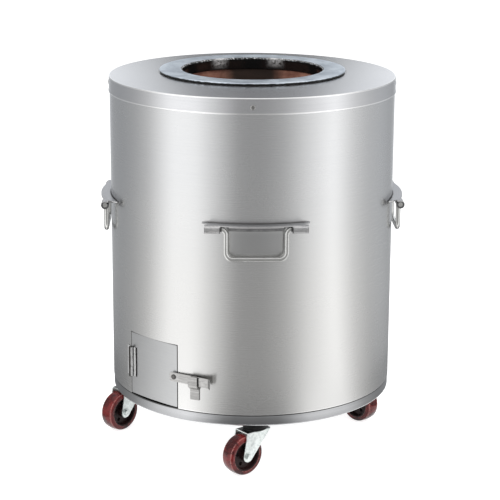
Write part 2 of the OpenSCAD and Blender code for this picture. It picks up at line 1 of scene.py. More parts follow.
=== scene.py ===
import math

import bmesh
import bpy
import numpy as np
from mathutils import Matrix, Vector

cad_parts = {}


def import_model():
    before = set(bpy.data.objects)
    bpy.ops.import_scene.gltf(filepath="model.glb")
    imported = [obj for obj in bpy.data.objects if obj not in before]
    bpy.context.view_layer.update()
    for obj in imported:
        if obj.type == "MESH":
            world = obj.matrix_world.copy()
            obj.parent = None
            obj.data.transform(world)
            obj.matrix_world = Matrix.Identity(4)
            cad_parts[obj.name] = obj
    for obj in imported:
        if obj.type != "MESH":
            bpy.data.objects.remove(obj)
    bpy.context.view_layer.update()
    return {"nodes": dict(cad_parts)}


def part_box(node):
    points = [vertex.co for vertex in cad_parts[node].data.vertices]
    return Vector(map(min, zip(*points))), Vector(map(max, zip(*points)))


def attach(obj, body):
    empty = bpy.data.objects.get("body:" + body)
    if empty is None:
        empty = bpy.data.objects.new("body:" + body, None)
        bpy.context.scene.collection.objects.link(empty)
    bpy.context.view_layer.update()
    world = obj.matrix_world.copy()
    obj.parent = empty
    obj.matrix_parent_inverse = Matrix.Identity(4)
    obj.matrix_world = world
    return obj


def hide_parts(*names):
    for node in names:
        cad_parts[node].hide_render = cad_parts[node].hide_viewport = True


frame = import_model()
mm = 0.001                                  # shapes are worked out in millimetres
drumRadius = 0.355                          # metres; patterns on the drum's skin are measured at this radius
handleTurn = 1.8                            # azimuth of the front handle and the front caster
doorTurn = -43.2                            # azimuth of the fire door


def boxOf(node):                            # a node's low and high corners in millimetres
    low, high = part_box(node)
    return np.array(low) / mm, np.array(high) / mm


def softened(corners, steps=6, closed=False):
    # each corner (x, y, radius) becomes an arc that touches both of its sides
    out = []
    for i, (x, y, radius) in enumerate(corners):
        corner = np.array([x, y], float)
        if radius == 0 or (not closed and i in (0, len(corners) - 1)):
            out.append(corner[None])
            continue
        before = np.array(corners[i - 1][:2]) - corner
        after = np.array(corners[(i + 1) % len(corners)][:2]) - corner
        before /= np.linalg.norm(before)
        after /= np.linalg.norm(after)
        half = math.acos(np.clip(before @ after, -1, 1)) / 2
        middle = (before + after) / np.linalg.norm(before + after)
        centre = corner + middle * radius / math.sin(half)
        start = corner + before * radius / math.tan(half) - centre
        end = corner + after * radius / math.tan(half) - centre
        first = math.atan2(start[1], start[0])
        turn = (math.atan2(end[1], end[0]) - first + math.pi) % (2 * math.pi) - math.pi
        angles = first + turn * np.linspace(0, 1, steps + 1)
        out.append(centre + radius * np.column_stack([np.cos(angles), np.sin(angles)]))
    return np.vstack(out)


def arcOf(centre, radius, start, end, steps=12):
    # points at a distance from the centre, from one angle in degrees to another
    angles = np.radians(np.linspace(start, end, steps + 1))
    return np.array(centre) + radius * np.column_stack([np.cos(angles), np.sin(angles)])


def spun(profile, azimuths):
    # a profile of radius and height goes round the drum's axis: x = r sin a, y = -r cos a
    angles = np.radians(azimuths)[:, None]
    radius, height = np.asarray(profile, float).T
    return np.stack(np.broadcast_arrays(radius * np.sin(angles), -radius * np.cos(angles), height), -1)


def ring(steps, start=0.0):                 # azimuths all the way round
    return start + 360 * np.arange(steps) / steps


def quads(rows, columns, wrapRows, wrapColumns):
    # the four corners of every cell of a grid, counted row by row
    i, j = np.meshgrid(np.arange(rows if wrapRows else rows - 1),
                       np.arange(columns if wrapColumns else columns - 1), indexing="ij")
    nextI, nextJ = (i + 1) % rows, (j + 1) % columns
    corners = [i * columns + j, nextI * columns + j, nextI * columns + nextJ, i * columns + nextJ]
    return np.stack(corners, -1).reshape(-1, 4)


def skin(grid, wrapRows=True, wrapColumns=True, caps=False):
    # a grid of points as one surface; caps closes its first and last row with one face each
    rows, columns = grid.shape[:2]
    faces = [quads(rows, columns, wrapRows, wrapColumns)]
    if caps:
        faces += [np.arange(columns)[None, ::-1], (rows - 1) * columns + np.arange(columns)[None]]
    return grid.reshape(-1, 3), faces


def sheet(outer, inner, keep=None, wrapRows=False):
    # two grids with the same cells are the faces of a sheet; walls stand where a kept cell has no neighbour
    rows, columns = outer.shape[:2]
    cells = (rows if wrapRows else rows - 1, columns - 1)
    keep = np.ones(cells, bool) if keep is None else keep
    corners = quads(rows, columns, wrapRows, False).reshape(*cells, 4)
    back = rows * columns
    faces = [corners[keep], corners[keep][:, ::-1] + back]
    padded = np.pad(keep, ((0, 0), (1, 1)))
    padded = np.vstack([padded[-1:], padded, padded[:1]]) if wrapRows else np.pad(padded, ((1, 1), (0, 0)))
    for neighbour, a, b in ((padded[:-2, 1:-1], 0, 3), (padded[2:, 1:-1], 1, 2),
                            (padded[1:-1, :-2], 0, 1), (padded[1:-1, 2:], 3, 2)):
        edge = corners[keep & ~neighbour]
        faces.append(np.column_stack([edge[:, a], edge[:, b], edge[:, b] + back, edge[:, a] + back]))
    return np.vstack([outer.reshape(-1, 3), inner.reshape(-1, 3)]), faces


def ways(path):                             # the direction of a path at each of its points
    along = np.gradient(path, axis=0)
    return along / np.linalg.norm(along, axis=1)[:, None]


def offset(line, depth):                    # a flat line moved to its right
    along = ways(line)
    return line + depth * np.column_stack([along[:, 1], -along[:, 0]])


def swept(lines, across):                   # two outlines of reach and height are carried sideways
    return sheet(*[reordered(across, -line[:, :1], line[:, 1:]) for line in lines])


def rod(path, radius, steps=24):
    # a circle carried along a path that stays in one plane, square to the path at every point
    across = np.cross(path[1] - path[0], path[len(path) // 2] - path[0])
    across /= np.linalg.norm(across)
    up = np.cross(ways(path), across)
    angles = np.radians(ring(steps))[None, :, None]
    circle = np.cos(angles) * across + np.sin(angles) * up[:, None]
    return skin(path[:, None] + radius * circle, wrapRows=False, caps=True)


def reordered(x, y, z):                     # three arrays that broadcast, as one array of points
    return np.stack(np.broadcast_arrays(x, y, z), -1).astype(float)


def wheeled(radius, along, steps, centre):
    # radii go round a line that runs along Y through a centre of x and z
    angles = np.radians(ring(steps))[:, None]
    return reordered(centre[0] + radius * np.cos(angles), along, centre[1] + radius * np.sin(angles))


def turned(shell, azimuth=0.0, shift=(0, 0, 0)):
    # turns a surface round Z, then moves it
    a = math.radians(azimuth)
    spin = np.array([[math.cos(a), -math.sin(a), 0], [math.sin(a), math.cos(a), 0], [0, 0, 1]])
    return shell[0] @ spin.T + np.array(shift, float), shell[1]


def added(name, data):                      # an object in the scene
    made = bpy.data.objects.new(name, data)
    bpy.context.collection.objects.link(made)
    return made


def piece(name, shells, finish, body, nodes, edge=0.0, edgeSteps=2, sharp=38.0, spots=None):
    # puts closed surfaces into one mesh, merges doubles, turns faces outwards and rounds edges; the piece
    # then rides on its body in the place of its nodes; spots are three lengths for each point, for a finish
    points, loops, sizes, count = [], [], [], 0
    for vertices, faces in shells:
        points.append(vertices)
        for group in faces:
            loops.append((np.asarray(group) + count).ravel())
            sizes.append(np.full(len(group), np.shape(group)[1]))
        count += len(vertices)
    points, loops, sizes = np.vstack(points) * mm, np.concatenate(loops), np.concatenate(sizes)
    mesh = bpy.data.meshes.new(name)
    mesh.vertices.add(len(points))
    mesh.vertices.foreach_set("co", points.ravel())
    mesh.loops.add(len(loops))
    mesh.loops.foreach_set("vertex_index", loops)
    mesh.polygons.add(len(sizes))
    mesh.polygons.foreach_set("loop_start", np.concatenate([[0], np.cumsum(sizes)[:-1]]))
    mesh.update(calc_edges=True)
    if spots is not None:
        marks = mesh.attributes.new("spots", "FLOAT_VECTOR", "POINT")
        marks.data.foreach_set("vector", (spots * mm).ravel())
    shape = bmesh.new()
    shape.from_mesh(mesh)
    bmesh.ops.remove_doubles(shape, verts=shape.verts, dist=0.002 * mm)
    bmesh.ops.dissolve_degenerate(shape, edges=shape.edges, dist=0.0005 * mm)
    bmesh.ops.recalc_face_normals(shape, faces=shape.faces)
    shape.to_mesh(mesh)
    shape.free()
    mesh.polygons.foreach_set("use_smooth", np.ones(len(mesh.polygons), bool))
    mesh.set_sharp_from_angle(angle=math.radians(sharp))
    mesh.materials.append(finishes[finish])
    made = added(name, mesh)
    if edge:
        rounding = made.modifiers.new("edge", "BEVEL")
        rounding.width = edge * mm
        rounding.segments = edgeSteps
        rounding.limit_method = "ANGLE"
        rounding.angle_limit = math.radians(sharp)
        rounding.harden_normals = True
    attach(made, body)
    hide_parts(*nodes)


class Wire:                                 # a socket; sums and products of it add Math nodes
    def __init__(self, paint, socket):
        self.paint = paint
        self.socket = socket

    def __add__(self, other):
        return self.paint.maths("ADD", self, other)

    def __sub__(self, other):
        return self.paint.maths("SUBTRACT", self, other)

    def __rsub__(self, other):
        return self.paint.maths("SUBTRACT", other, self)

    def __mul__(self, other):
        return self.paint.maths("MULTIPLY", self, other)

    def __truediv__(self, other):
        return self.paint.maths("DIVIDE", self, other)

    def __abs__(self):
        return self.paint.maths("ABSOLUTE", self)

    __radd__ = __add__
    __rmul__ = __mul__


class Tree:                                 # makes the nodes of one material or world
    def __init__(self, tree):
        self.tree = tree

    def node(self, kind, settings, sockets, output=0):
        # sockets are counted or named, and each gets a wire or a constant
        made = self.tree.nodes.new(kind)
        for key, value in settings.items():
            if key == "stops":
                setStops(made.color_ramp, value)
            else:
                setattr(made, key, value)
        for key, value in (sockets.items() if isinstance(sockets, dict) else enumerate(sockets)):
            if isinstance(value, Wire):
                self.tree.links.new(value.socket, made.inputs[key])
            else:
                made.inputs[key].default_value = value
        if isinstance(output, range):
            return [Wire(self, made.outputs[n]) for n in output]
        return Wire(self, made.outputs[output])

    def maths(self, operation, *values):
        return self.node("ShaderNodeMath", {"operation": operation}, values)

    def largest(self, first, *others):      # a mask that is set where any of the masks is
        for other in others:
            first = self.maths("MAXIMUM", first, other)
        return first


class Paint(Tree):                          # one material with its main shader, and places on the object
    def __init__(self, name, constants=None):
        self.material = bpy.data.materials.new(name)
        self.material.use_nodes = True
        super().__init__(self.material.node_tree)
        self.tree.nodes.clear()
        self.result = self.tree.nodes.new("ShaderNodeOutputMaterial")
        self.shader = self.tree.nodes.new("ShaderNodeBsdfPrincipled")
        self.tree.links.new(self.shader.outputs[0], self.result.inputs["Surface"])
        for socket, value in (constants or {}).items():
            self.shader.inputs[socket].default_value = value
        self.spot = self.node("ShaderNodeTexCoord", {}, {}, "Object")
        self.x, self.y, self.z = self.node("ShaderNodeSeparateXYZ", {}, [self.spot], range(3))

    def feed(self, **wires):                # links wires to the shader's sockets, named without spaces
        for name, wire in wires.items():
            socket = next(s for s in self.shader.inputs if s.name.replace(" ", "") == name)
            self.tree.links.new(wire.socket, socket)

    def surface(self, wire):                # puts another shader in the place of the first one
        self.tree.links.new(wire.socket, self.result.inputs["Surface"])
        self.tree.nodes.remove(self.shader)

    def roundAxis(self):                    # distance along the drum's skin, radius and height, in metres
        angle = self.maths("ARCTAN2", self.x, 0 - self.y)
        radius = self.maths("SQRT", self.x * self.x + self.y * self.y)
        return angle * drumRadius, radius, self.z

    def sideways(self, azimuth):            # distance to one side of the upright plane at an azimuth
        a = math.radians(azimuth)
        return self.x * math.cos(a) + self.y * math.sin(a)

    def quarters(self, along, radius):
        # sideways and outward distance from the nearest handle's middle: azimuths fold every 45 degrees
        turn = along * (180 / math.pi / drumRadius) + (360 - handleTurn)
        folded = self.maths("PINGPONG", turn, 45.0) * (math.pi / 180)
        return [radius * self.maths(way, folded) for way in ("SINE", "COSINE")]

    def noise(self, vector, scale, detail=3.0, roughness=0.5, distortion=0.0):     # mostly near 0.5
        if isinstance(vector, tuple):
            vector = self.node("ShaderNodeCombineXYZ", {}, vector)
        sockets = {"Vector": vector, "Scale": scale, "Detail": detail, "Roughness": roughness,
                   "Distortion": distortion}
        return self.node("ShaderNodeTexNoise", {}, sockets)

    def fade(self, value, low, high):       # 0 at low, 1 at high, smooth between them
        sockets = {"Value": value, "From Min": low, "From Max": high}
        return self.node("ShaderNodeMapRange", {"interpolation_type": "SMOOTHSTEP"}, sockets)

    def fall(self, value, low, high):       # 1 at low, 0 at high
        return 1 - self.fade(value, low, high)

    def band(self, value, low, high, step, end=None):   # rises to 1 after low and falls after high
        return self.fade(value, low, low + step) * self.fall(value, high, high + (end or step))

    def mix(self, factor, first, second):   # a colour between two colours
        sockets = {0: factor, 6: tinted(first), 7: tinted(second)}
        return self.node("ShaderNodeMix", {"data_type": "RGBA"}, sockets, 2)

    def bump(self, height, strength, distance, under=None):     # a normal, on top of another one
        sockets = {"Height": height, "Strength": strength, "Distance": distance}
        if under:
            sockets["Normal"] = under
        return self.node("ShaderNodeBump", {}, sockets)


def tinted(colour):                         # a grey number or three numbers as a colour
    if isinstance(colour, Wire):
        return colour
    return (*colour, 1.0) if isinstance(colour, (tuple, list)) else (colour, colour, colour, 1.0)


def setStops(ramp, stops):                  # places and colours on a colour ramp
    while len(ramp.elements) < len(stops):
        ramp.elements.new(0.5)
    for element, (position, colour) in zip(ramp.elements, stops):
        element.position = position
        element.color = tinted(colour)


steels = {
    # clean and marked colour, roughness and its spread, stretch of highlights, bump, waves, specks
    "drumSteel": ((0.665, 0.67, 0.675), (0.643, 0.648, 0.656), 0.27, 0.015, 0.5, 0.014, 0.09, 0.0),
    "coverSteel": ((0.66, 0.665, 0.68), (0.62, 0.625, 0.64), 0.23, 0.03, 0.4, 0.02, 0.06, 0.0),
    "panSteel": ((0.5, 0.505, 0.515), (0.42, 0.425, 0.435), 0.12, 0.04, 0.4, 0.04, 0.08, 0.1),
    "doorSteel": ((0.535, 0.54, 0.542), (0.49, 0.495, 0.5), 0.36, 0.03, 0.3, 0.02, 0.05, 0.05),
    "fittingSteel": ((0.5, 0.495, 0.485), (0.27, 0.265, 0.26), 0.29, 0.09, 0.1, 0.08, 0.0, 0.45),
    "hingeSteel": ((0.82, 0.82, 0.82), (0.6, 0.6, 0.6), 0.52, 0.08, 0.0, 0.06, 0.0, 0.2),
    "rivetSteel": ((0.2, 0.195, 0.19), (0.06, 0.056, 0.052), 0.4, 0.12, 0.0, 0.1, 0.0, 0.4),
    "handleSteel": ((0.74, 0.73, 0.725), (0.42, 0.425, 0.435), 0.36, 0.08, 0.0, 0.07, 0.0, 0.35),
    "bailSteel": ((0.72, 0.72, 0.705), (0.5, 0.5, 0.49), 0.16, 0.06, 0.0, 0.03, 0.0, 0.15),
    "ductSteel": ((0.12, 0.11, 0.1), (0.04, 0.036, 0.032), 0.55, 0.12, 0.0, 0.1, 0.0, 0.3),
    "frameSteel": ((0.13, 0.13, 0.135), (0.06, 0.058, 0.056), 0.45, 0.12, 0.0, 0.1, 0.0, 0.3),
    "bearingSteel": ((0.66, 0.66, 0.66), (0.5, 0.49, 0.47), 0.12, 0.05, 0.0, 0.02, 0.0, 0.0),
}


def brushedSteel(name, touches=None):
    # fine lines run round the drum: noise that changes slowly along the skin and fast across it
    clean, marked, rough, spread, stretch, bumps, waves, specks = steels[name]
    paint = Paint(name, {"Metallic": 1.0, "Anisotropic": stretch, "Anisotropic Rotation": 0.25})
    along, radius, height = paint.roundAxis()
    grain = paint.noise((along * 9, radius * 2400, height * 2400), 1.0, 4.0, 0.65)
    lines = paint.noise((along * 3, radius * 420, height * 420), 1.0, 2.0)
    smudge = paint.noise(paint.spot, 6.0, 4.0, 0.6, 0.4)
    tone = grain * 0.4 + lines * 0.3 + smudge * 0.3
    colour = paint.mix(paint.fade(tone, 0.36, 0.6), marked, clean)
    rough = rough + (grain - 0.5) * spread * 2 + paint.fade(smudge, 0.5, 0.74) * spread
    if specks:                              # small dull specks where the piece was cut, bent and handled
        speck = paint.noise(paint.spot, 210.0, 3.0, 0.6)
        colour = paint.mix(paint.fade(speck, 0.52, 0.66) * specks, colour, marked)
    if touches:
        colour, rough = touches(paint, along, radius, height, colour, rough)
    normal = paint.bump(grain, bumps, 0.0002)
    if waves:                               # rolled sheet is never quite round: slow waves along the skin
        wave = paint.noise((along * 9, radius * 2, height * 1.1), 1.0, 1.0)
        normal = paint.bump(wave, waves, 0.004, normal)
    paint.feed(BaseColor=colour, Roughness=rough, Normal=normal)
    return paint.material


drumTouches = dict(rubHalf=0.066, rubLow=0.547, rubHigh=0.6, rubDark=0.38, rub=(0.27, 0.275, 0.28),
                   seamAzimuth=136.0, seamHalf=0.0016, tint=(0.42, 0.36, 0.3), seamTone=0.49,
                   weldHeight=0.63, weldHalf=0.118, weld=(0.26, 0.25, 0.245), soot=(0.06, 0.056, 0.052),
                   skin=0.3546, foot=0.155, footLine=0.0018, footTone=0.93, warm=(0.672, 0.667, 0.652),
                   warmFrom=0.4, warmTo=0.8)


def drumWear(paint, along, radius, height, colour, rough):
    # straw-coloured by the fire's warmth low down, painted shade between each bail's legs for the bracket's
    # shadow and reflection (rougher there too), heat-tinted at each handle's weld and along the seam at the
    # back, a painted highlight along the foot (smoother there too), sooty inside, and painted shade on the
    # cut edges for the door's gaps
    s = drumTouches
    side, outward = paint.quarters(along, radius)
    cloud = paint.noise(paint.spot, 24.0, 4.0, 0.6)
    across = paint.fall(side + cloud * 0.008, s["rubHalf"] - 0.012, s["rubHalf"] + 0.006)
    # painted shade: the bracket's shadow and reflection, darkened between each bail's legs
    rubbed = across * paint.band(height, s["rubLow"], s["rubHigh"], 0.016, 0.024) * s["rubDark"]
    near = paint.fall(abs(height - s["weldHeight"]), 0.0008, 0.0042 + cloud * 0.003)
    weld = near * paint.fall(side, s["weldHalf"] - 0.006, s["weldHalf"] + 0.006) * 0.8
    away = abs(along - math.radians(s["seamAzimuth"]) * drumRadius)
    seam = paint.fall(away + (cloud - 0.5) * 0.001, s["seamHalf"] * 0.4, s["seamHalf"])
    halo = paint.fall(away, s["seamHalf"], s["seamHalf"] * 5 + cloud * 0.01) * 0.45
    # painted highlight: a light line along the drum's foot, just above the pan's seam
    foot = paint.fall(height, s["foot"] + s["footLine"] * 0.8, s["foot"] + s["footLine"])
    colour = paint.mix(paint.fall(height, s["warmFrom"], s["warmTo"]) * 0.75, colour, s["warm"])
    colour = paint.mix(rubbed, colour, s["rub"])
    colour = paint.mix(weld, colour, s["weld"])
    colour = paint.mix(halo, colour, s["tint"])
    colour = paint.mix(seam * 0.6, colour, s["seamTone"])
    colour = paint.mix(foot * 0.7, colour, s["footTone"])
    # soot inside the drum; on its cut edges the same dark is painted shade for the door's gaps
    colour = paint.mix(paint.fall(radius, s["skin"] - 0.0003, s["skin"]), colour, s["soot"])
    return colour, rough + rubbed * 0.12 + seam * 0.15 - foot * 0.1


coverTouches = dict(edgeRadius=0.3568, edgeHeight=0.927, foldWidth=0.003, hemTop=0.8915, polished=0.95)


def coverWear(paint, along, radius, height, colour, rough):
    # painted highlights: the fold and the hem are painted near white, and are smoother too
    s = coverTouches
    outer, upper, wide = s["edgeRadius"], s["edgeHeight"], s["foldWidth"]
    fold = paint.fade(radius, outer - wide, outer - wide * 0.8)
    fold = fold * paint.fade(height, upper - wide, upper - wide * 0.8)
    hem = paint.fall(height, s["hemTop"] - 0.0004, s["hemTop"] + 0.0004)
    paintedHighlight = paint.largest(fold, hem)
    return paint.mix(paintedHighlight, colour, s["polished"]), rough - paintedHighlight * 0.1


panTouches = dict(rim=0.1548, seamLine=0.0034, seam=(0.04, 0.038, 0.036), foot=0.127,
                  footDark=(0.3, 0.302, 0.31))


def panWear(paint, along, radius, height, colour, rough):
    # dirt in the seam under the drum, duller towards the floor
    s = panTouches
    cloud = paint.noise(paint.spot, 30.0, 4.0, 0.6)
    dull = paint.fall(height + (cloud - 0.5) * 0.006, s["foot"] + 0.002, s["foot"] + 0.02)
    colour = paint.mix(dull * 0.4, colour, s["footDark"])
    start, end = s["rim"] - s["seamLine"], s["rim"] - s["seamLine"] * 0.6
    seam = paint.fade(height + (cloud - 0.5) * 0.0006, start, end)
    return paint.mix(seam * 0.9, colour, s["seam"]), rough + seam * 0.2 + dull * 0.06


doorTouches = dict(azimuth=doorTurn, centre=(0.23947, 0.25502), curve=0.7, skin=0.0004,
                   soot=(0.05, 0.047, 0.044), top=0.3158, left=-0.08107, line=0.0016)


def doorWear(paint, along, radius, height, colour, rough):
    # soot blackens the door's back; its cut edges and lines along its top and left side are darkened as
    # painted shade in the gaps round it
    s = doorTouches
    x, y = paint.x - s["centre"][0], paint.y - s["centre"][1]
    depth = s["curve"] - paint.maths("SQRT", x * x + y * y)
    behind = paint.fade(depth, s["skin"] * 0.5, s["skin"])
    cloud = paint.noise(paint.spot, 70.0, 4.0, 0.6)
    side = paint.sideways(s["azimuth"])
    # painted shadow of the gaps along the door's top and its left side
    gapShadow = [paint.fade(height + cloud * 0.0008, s["top"] - s["line"], s["top"] - s["line"] * 0.3),
            paint.fall(side - cloud * 0.0008, s["left"] + s["line"] * 0.2, s["left"] + s["line"] * 0.8)]
    colour = paint.mix(paint.largest(*gapShadow) * 0.7, colour, s["soot"])
    # the back is sooty; its cut edges are darkened as painted shade in the gaps
    return paint.mix(behind * 0.9, colour, s["soot"]), rough + behind * 0.2


hingeTouches = dict(azimuth=-55.5, grime=(0.035, 0.032, 0.03),
                    bands=[(-0.0232, -0.0212, 0.6), (-0.0028, 0.004, 0.97), (0.0132, 0.016, 0.95)])


def hingeWear(paint, along, radius, height, colour, rough):
    # painted shade darkens the barrel and a line along each leaf's free edge
    s = hingeTouches
    cloud = paint.noise(paint.spot, 90.0, 3.0, 0.6)
    side = paint.sideways(s["azimuth"]) + (cloud - 0.5) * 0.001
    paintedHingeShade = sum(paint.band(side, low, high, 0.0006) * strength for low, high, strength in s["bands"])
    return paint.mix(paintedHingeShade, colour, s["grime"]), rough - paintedHingeShade * 0.1


handleTouches = dict(weldRadius=0.3572, weld=(0.08, 0.08, 0.084), cutAt=0.1212, cutTop=0.6268,
                     mouthAt=0.0845, plateTop=0.6294, top=(0.36, 0.37, 0.395), pivot=(0.365, 0.62),
                     bore=0.0066)


def handleWear(paint, along, radius, height, colour, rough):
    # dark where the plate is welded on and on the barrels' cut ends; the plate's top is painted darker and
    # bluer as a painted reflection
    s = handleTouches
    side, outward = paint.quarters(along, radius)
    cloud = paint.noise(paint.spot, 60.0, 4.0, 0.6)
    weld = paint.fall(radius + cloud * 0.002, s["weldRadius"], s["weldRadius"] + 0.003)
    ends = paint.fade(side, s["cutAt"], s["cutAt"] + 0.0004)
    ends = ends * paint.fall(height, s["cutTop"] - 0.0004, s["cutTop"])
    up, out = height - s["pivot"][1], outward - s["pivot"][0]
    reach = paint.maths("SQRT", up * up + out * out)
    bore = paint.fall(reach, s["bore"], s["bore"] + 0.0008)
    mouths = paint.band(side, s["mouthAt"] - 0.001, s["mouthAt"] + 0.001, 0.001, cloud * 0.002 + 0.002)
    mouths = mouths * paint.fall(height, s["cutTop"] - 0.002, s["cutTop"])
    dark = paint.largest(ends, mouths, weld, bore)
    # painted reflection: the plate's top darker and bluer
    colour = paint.mix(paint.fade(height, s["plateTop"], s["plateTop"] + 0.0004) * 0.6, colour, s["top"])
    return paint.mix(dark * 0.85, colour, s["weld"]), rough + dark * 0.14


bailTouches = dict(hidden=0.0795, rodEnd=0.1195, grime=(0.05, 0.05, 0.05))


def bailWear(paint, along, radius, height, colour, rough):
    # black grease where the rod goes into its barrels
    s = bailTouches
    side, outward = paint.quarters(along, radius)
    cloud = paint.noise(paint.spot, 90.0, 3.0, 0.6)
    inside = paint.fade(side + cloud * 0.001, s["hidden"], s["hidden"] + 0.0035)
    inside = inside * paint.fall(side, s["rodEnd"], s["rodEnd"] + 0.001)
    return paint.mix(inside * 0.9, colour, s["grime"]), rough + inside * 0.2


ringPaint = dict(steel=(0.8, 0.87, 0.94), mark=(0.6, 0.67, 0.75), pit=0.2, black=0.006, rough=0.4,
                 blackRough=0.12, blackTop=0.002, bore=0.1775, chip=0.9, ash=0.62, ashAt=(-151.0, 160.0),
                 ashHalf=10.0, ashDeep=0.03)


def ringSteel():
    # satin blue-grey steel; black paint covers collar and outer edge and ends in a ragged border
    s = ringPaint
    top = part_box("mouth_ring")[1][2]
    paint = Paint("ringSteel", {"Anisotropic": 0.2})
    along, radius, height = paint.roundAxis()
    speck = paint.noise(paint.spot, 160.0, 5.0, 0.7)
    cloud = paint.noise(paint.spot, 22.0, 4.0, 0.6, 0.3)
    ragged = paint.noise((along * 60, radius * 160, height * 160), 1.0, 4.0, 0.7)
    border = top - s["blackTop"]
    outside = paint.fall(height + (ragged - 0.5) * 0.006, border - 0.0006, border + 0.0006)
    creep = paint.noise((along * 45, radius * 60, 0.0), 1.0, 3.0)
    inside = paint.fall(radius + (creep - 0.5) * 0.004, s["bore"] - 0.0006, s["bore"] + 0.0006)
    black = paint.largest(outside, inside)
    steel = paint.mix(paint.fade(cloud * 0.6 + speck * 0.4, 0.36, 0.62), s["mark"], s["steel"])
    steel = paint.mix(paint.fade(speck, 0.66, 0.74) * 0.6, steel, s["pit"])
    flake = paint.noise((along * 110, radius * 200, height * 200), 1.0, 3.0, 0.8)
    lip = paint.fall(radius, s["bore"] - 0.001, s["bore"]) * paint.fade(height, top - 0.0045, top - 0.002)
    chipped = paint.fade(flake + (cloud - 0.5) * 0.3, 0.53, 0.58) * lip
    steel = paint.mix(chipped, steel, s["chip"])
    black = black * (1 - chipped)
    # painted glints: two pale patches on the far side of the black collar, below its top, stand in for
    # reflections of lamps
    ash = sum(paint.fall(abs(along / drumRadius - math.radians(at)), 0, math.radians(s["ashHalf"]))
              for at in s["ashAt"])
    ash = ash * paint.fade(height + (cloud - 0.5) * 0.01, top - s["ashDeep"], top - 0.003)
    blackWithGlints = paint.mix(ash * paint.fade(ragged, 0.3, 0.6) * 0.85, s["black"], s["ash"])
    paint.feed(
        BaseColor=paint.mix(black, steel, blackWithGlints),
        Metallic=1 - black,
        Roughness=(1 - black) * (s["rough"] + (cloud - 0.5) * 0.3) + black * s["blackRough"],
        Normal=paint.bump(speck * 0.4 + cloud * 0.6, 0.25, 0.0006))
    return paint.material


def blackRubber(name, shade=0.014, rough=0.55, scale=240.0):
    # near black, slightly uneven, with a fine pebbled surface
    paint = Paint(name, {"Specular IOR Level": 0.2})
    grit = paint.noise(paint.spot, scale, 4.0, 0.6)
    dust = paint.noise(paint.spot, 18.0, 4.0, 0.6)
    paint.feed(
        BaseColor=paint.mix(paint.fade(dust, 0.45, 0.8), shade, shade * 2.6),
        Roughness=rough + (grit - 0.5) * 0.2,
        Normal=paint.bump(grit, 0.3, 0.0004))
    return paint.material


earths = {
    # dark and light shade, grit, roughness, size of the grain, strength and depth of the bump
    "clay": ((0.2, 0.085, 0.06), (0.46, 0.23, 0.165), (0.52, 0.37, 0.28), 0.7, 90.0, 0.5, 0.0016),
    "fibre": ((0.62, 0.6, 0.55), (0.8, 0.78, 0.74), (0.86, 0.85, 0.82), 0.95, 300.0, 0.7, 0.002),
    "firebrick": ((0.42, 0.30, 0.19), (0.60, 0.45, 0.31), (0.72, 0.62, 0.5), 0.9, 140.0, 0.6, 0.0014),
    "grateIron": ((0.03, 0.028, 0.027), (0.075, 0.068, 0.062), (0.15, 0.085, 0.05), 0.7, 260.0, 0.6, 0.001),
}


potSootAndShade = dict(colour=(0.016, 0.013, 0.011), strength=0.97, low=0.62, high=0.86, near=0.045, far=0.105)


def earthen(name, soot=None):
    # two shades in clouds, lighter grit and rough grain; soot covers all below the pot's neck
    dark, light, grit, rough, fineness, strength, depth = earths[name]
    paint = Paint(name, {"Specular IOR Level": 0.3})
    along, radius, height = paint.roundAxis()
    cloud = paint.noise(paint.spot, 14.0, 5.0, 0.6, 0.4)
    grain = paint.noise(paint.spot, fineness, 5.0, 0.7)
    bands = paint.noise((along * 2, radius * 30, height * 110), 1.0, 3.0)
    colour = paint.mix(paint.fade(cloud * 0.6 + bands * 0.4, 0.38, 0.62), dark, light)
    colour = paint.mix(paint.fade(grain, 0.62, 0.72) * 0.55, colour, grit)
    if soot:                                # painted shade also darkens the neck at front and back, leaving its two sides light
        smoked = paint.fall(height + (cloud - 0.5) * 0.16, soot["low"], soot["high"])
        paintedNeckShade = paint.fall(abs(paint.x) + (cloud - 0.5) * 0.04, soot["near"], soot["far"])
        colour = paint.mix(paint.largest(smoked, paintedNeckShade) * soot["strength"], colour, soot["colour"])
    paint.feed(
        BaseColor=colour,
        Roughness=rough + (grain - 0.5) * 0.25,
        Normal=paint.bump(grain * 0.6 + bands * 0.4, strength, depth))
    return paint.material


casterPaints = dict(treadColour=(0.2, 0.017, 0.017), treadDark=(0.05, 0.004, 0.005), treadRough=0.16,
                    rubbed=(0.5, 0.2, 0.18), dust=(0.3, 0.12, 0.1), faceHalf=0.0135, rimRadius=0.0385,
                    hubColour=(0.022, 0.009, 0.009), hubMark=(0.022, 0.01, 0.01),
                    zincColour=(0.76, 0.80, 0.785), zincMark=(0.56, 0.6, 0.59), zincPit=(0.3, 0.31, 0.3),
                    grease=(0.03, 0.03, 0.03), raceLow=0.1092, raceHigh=0.1125)


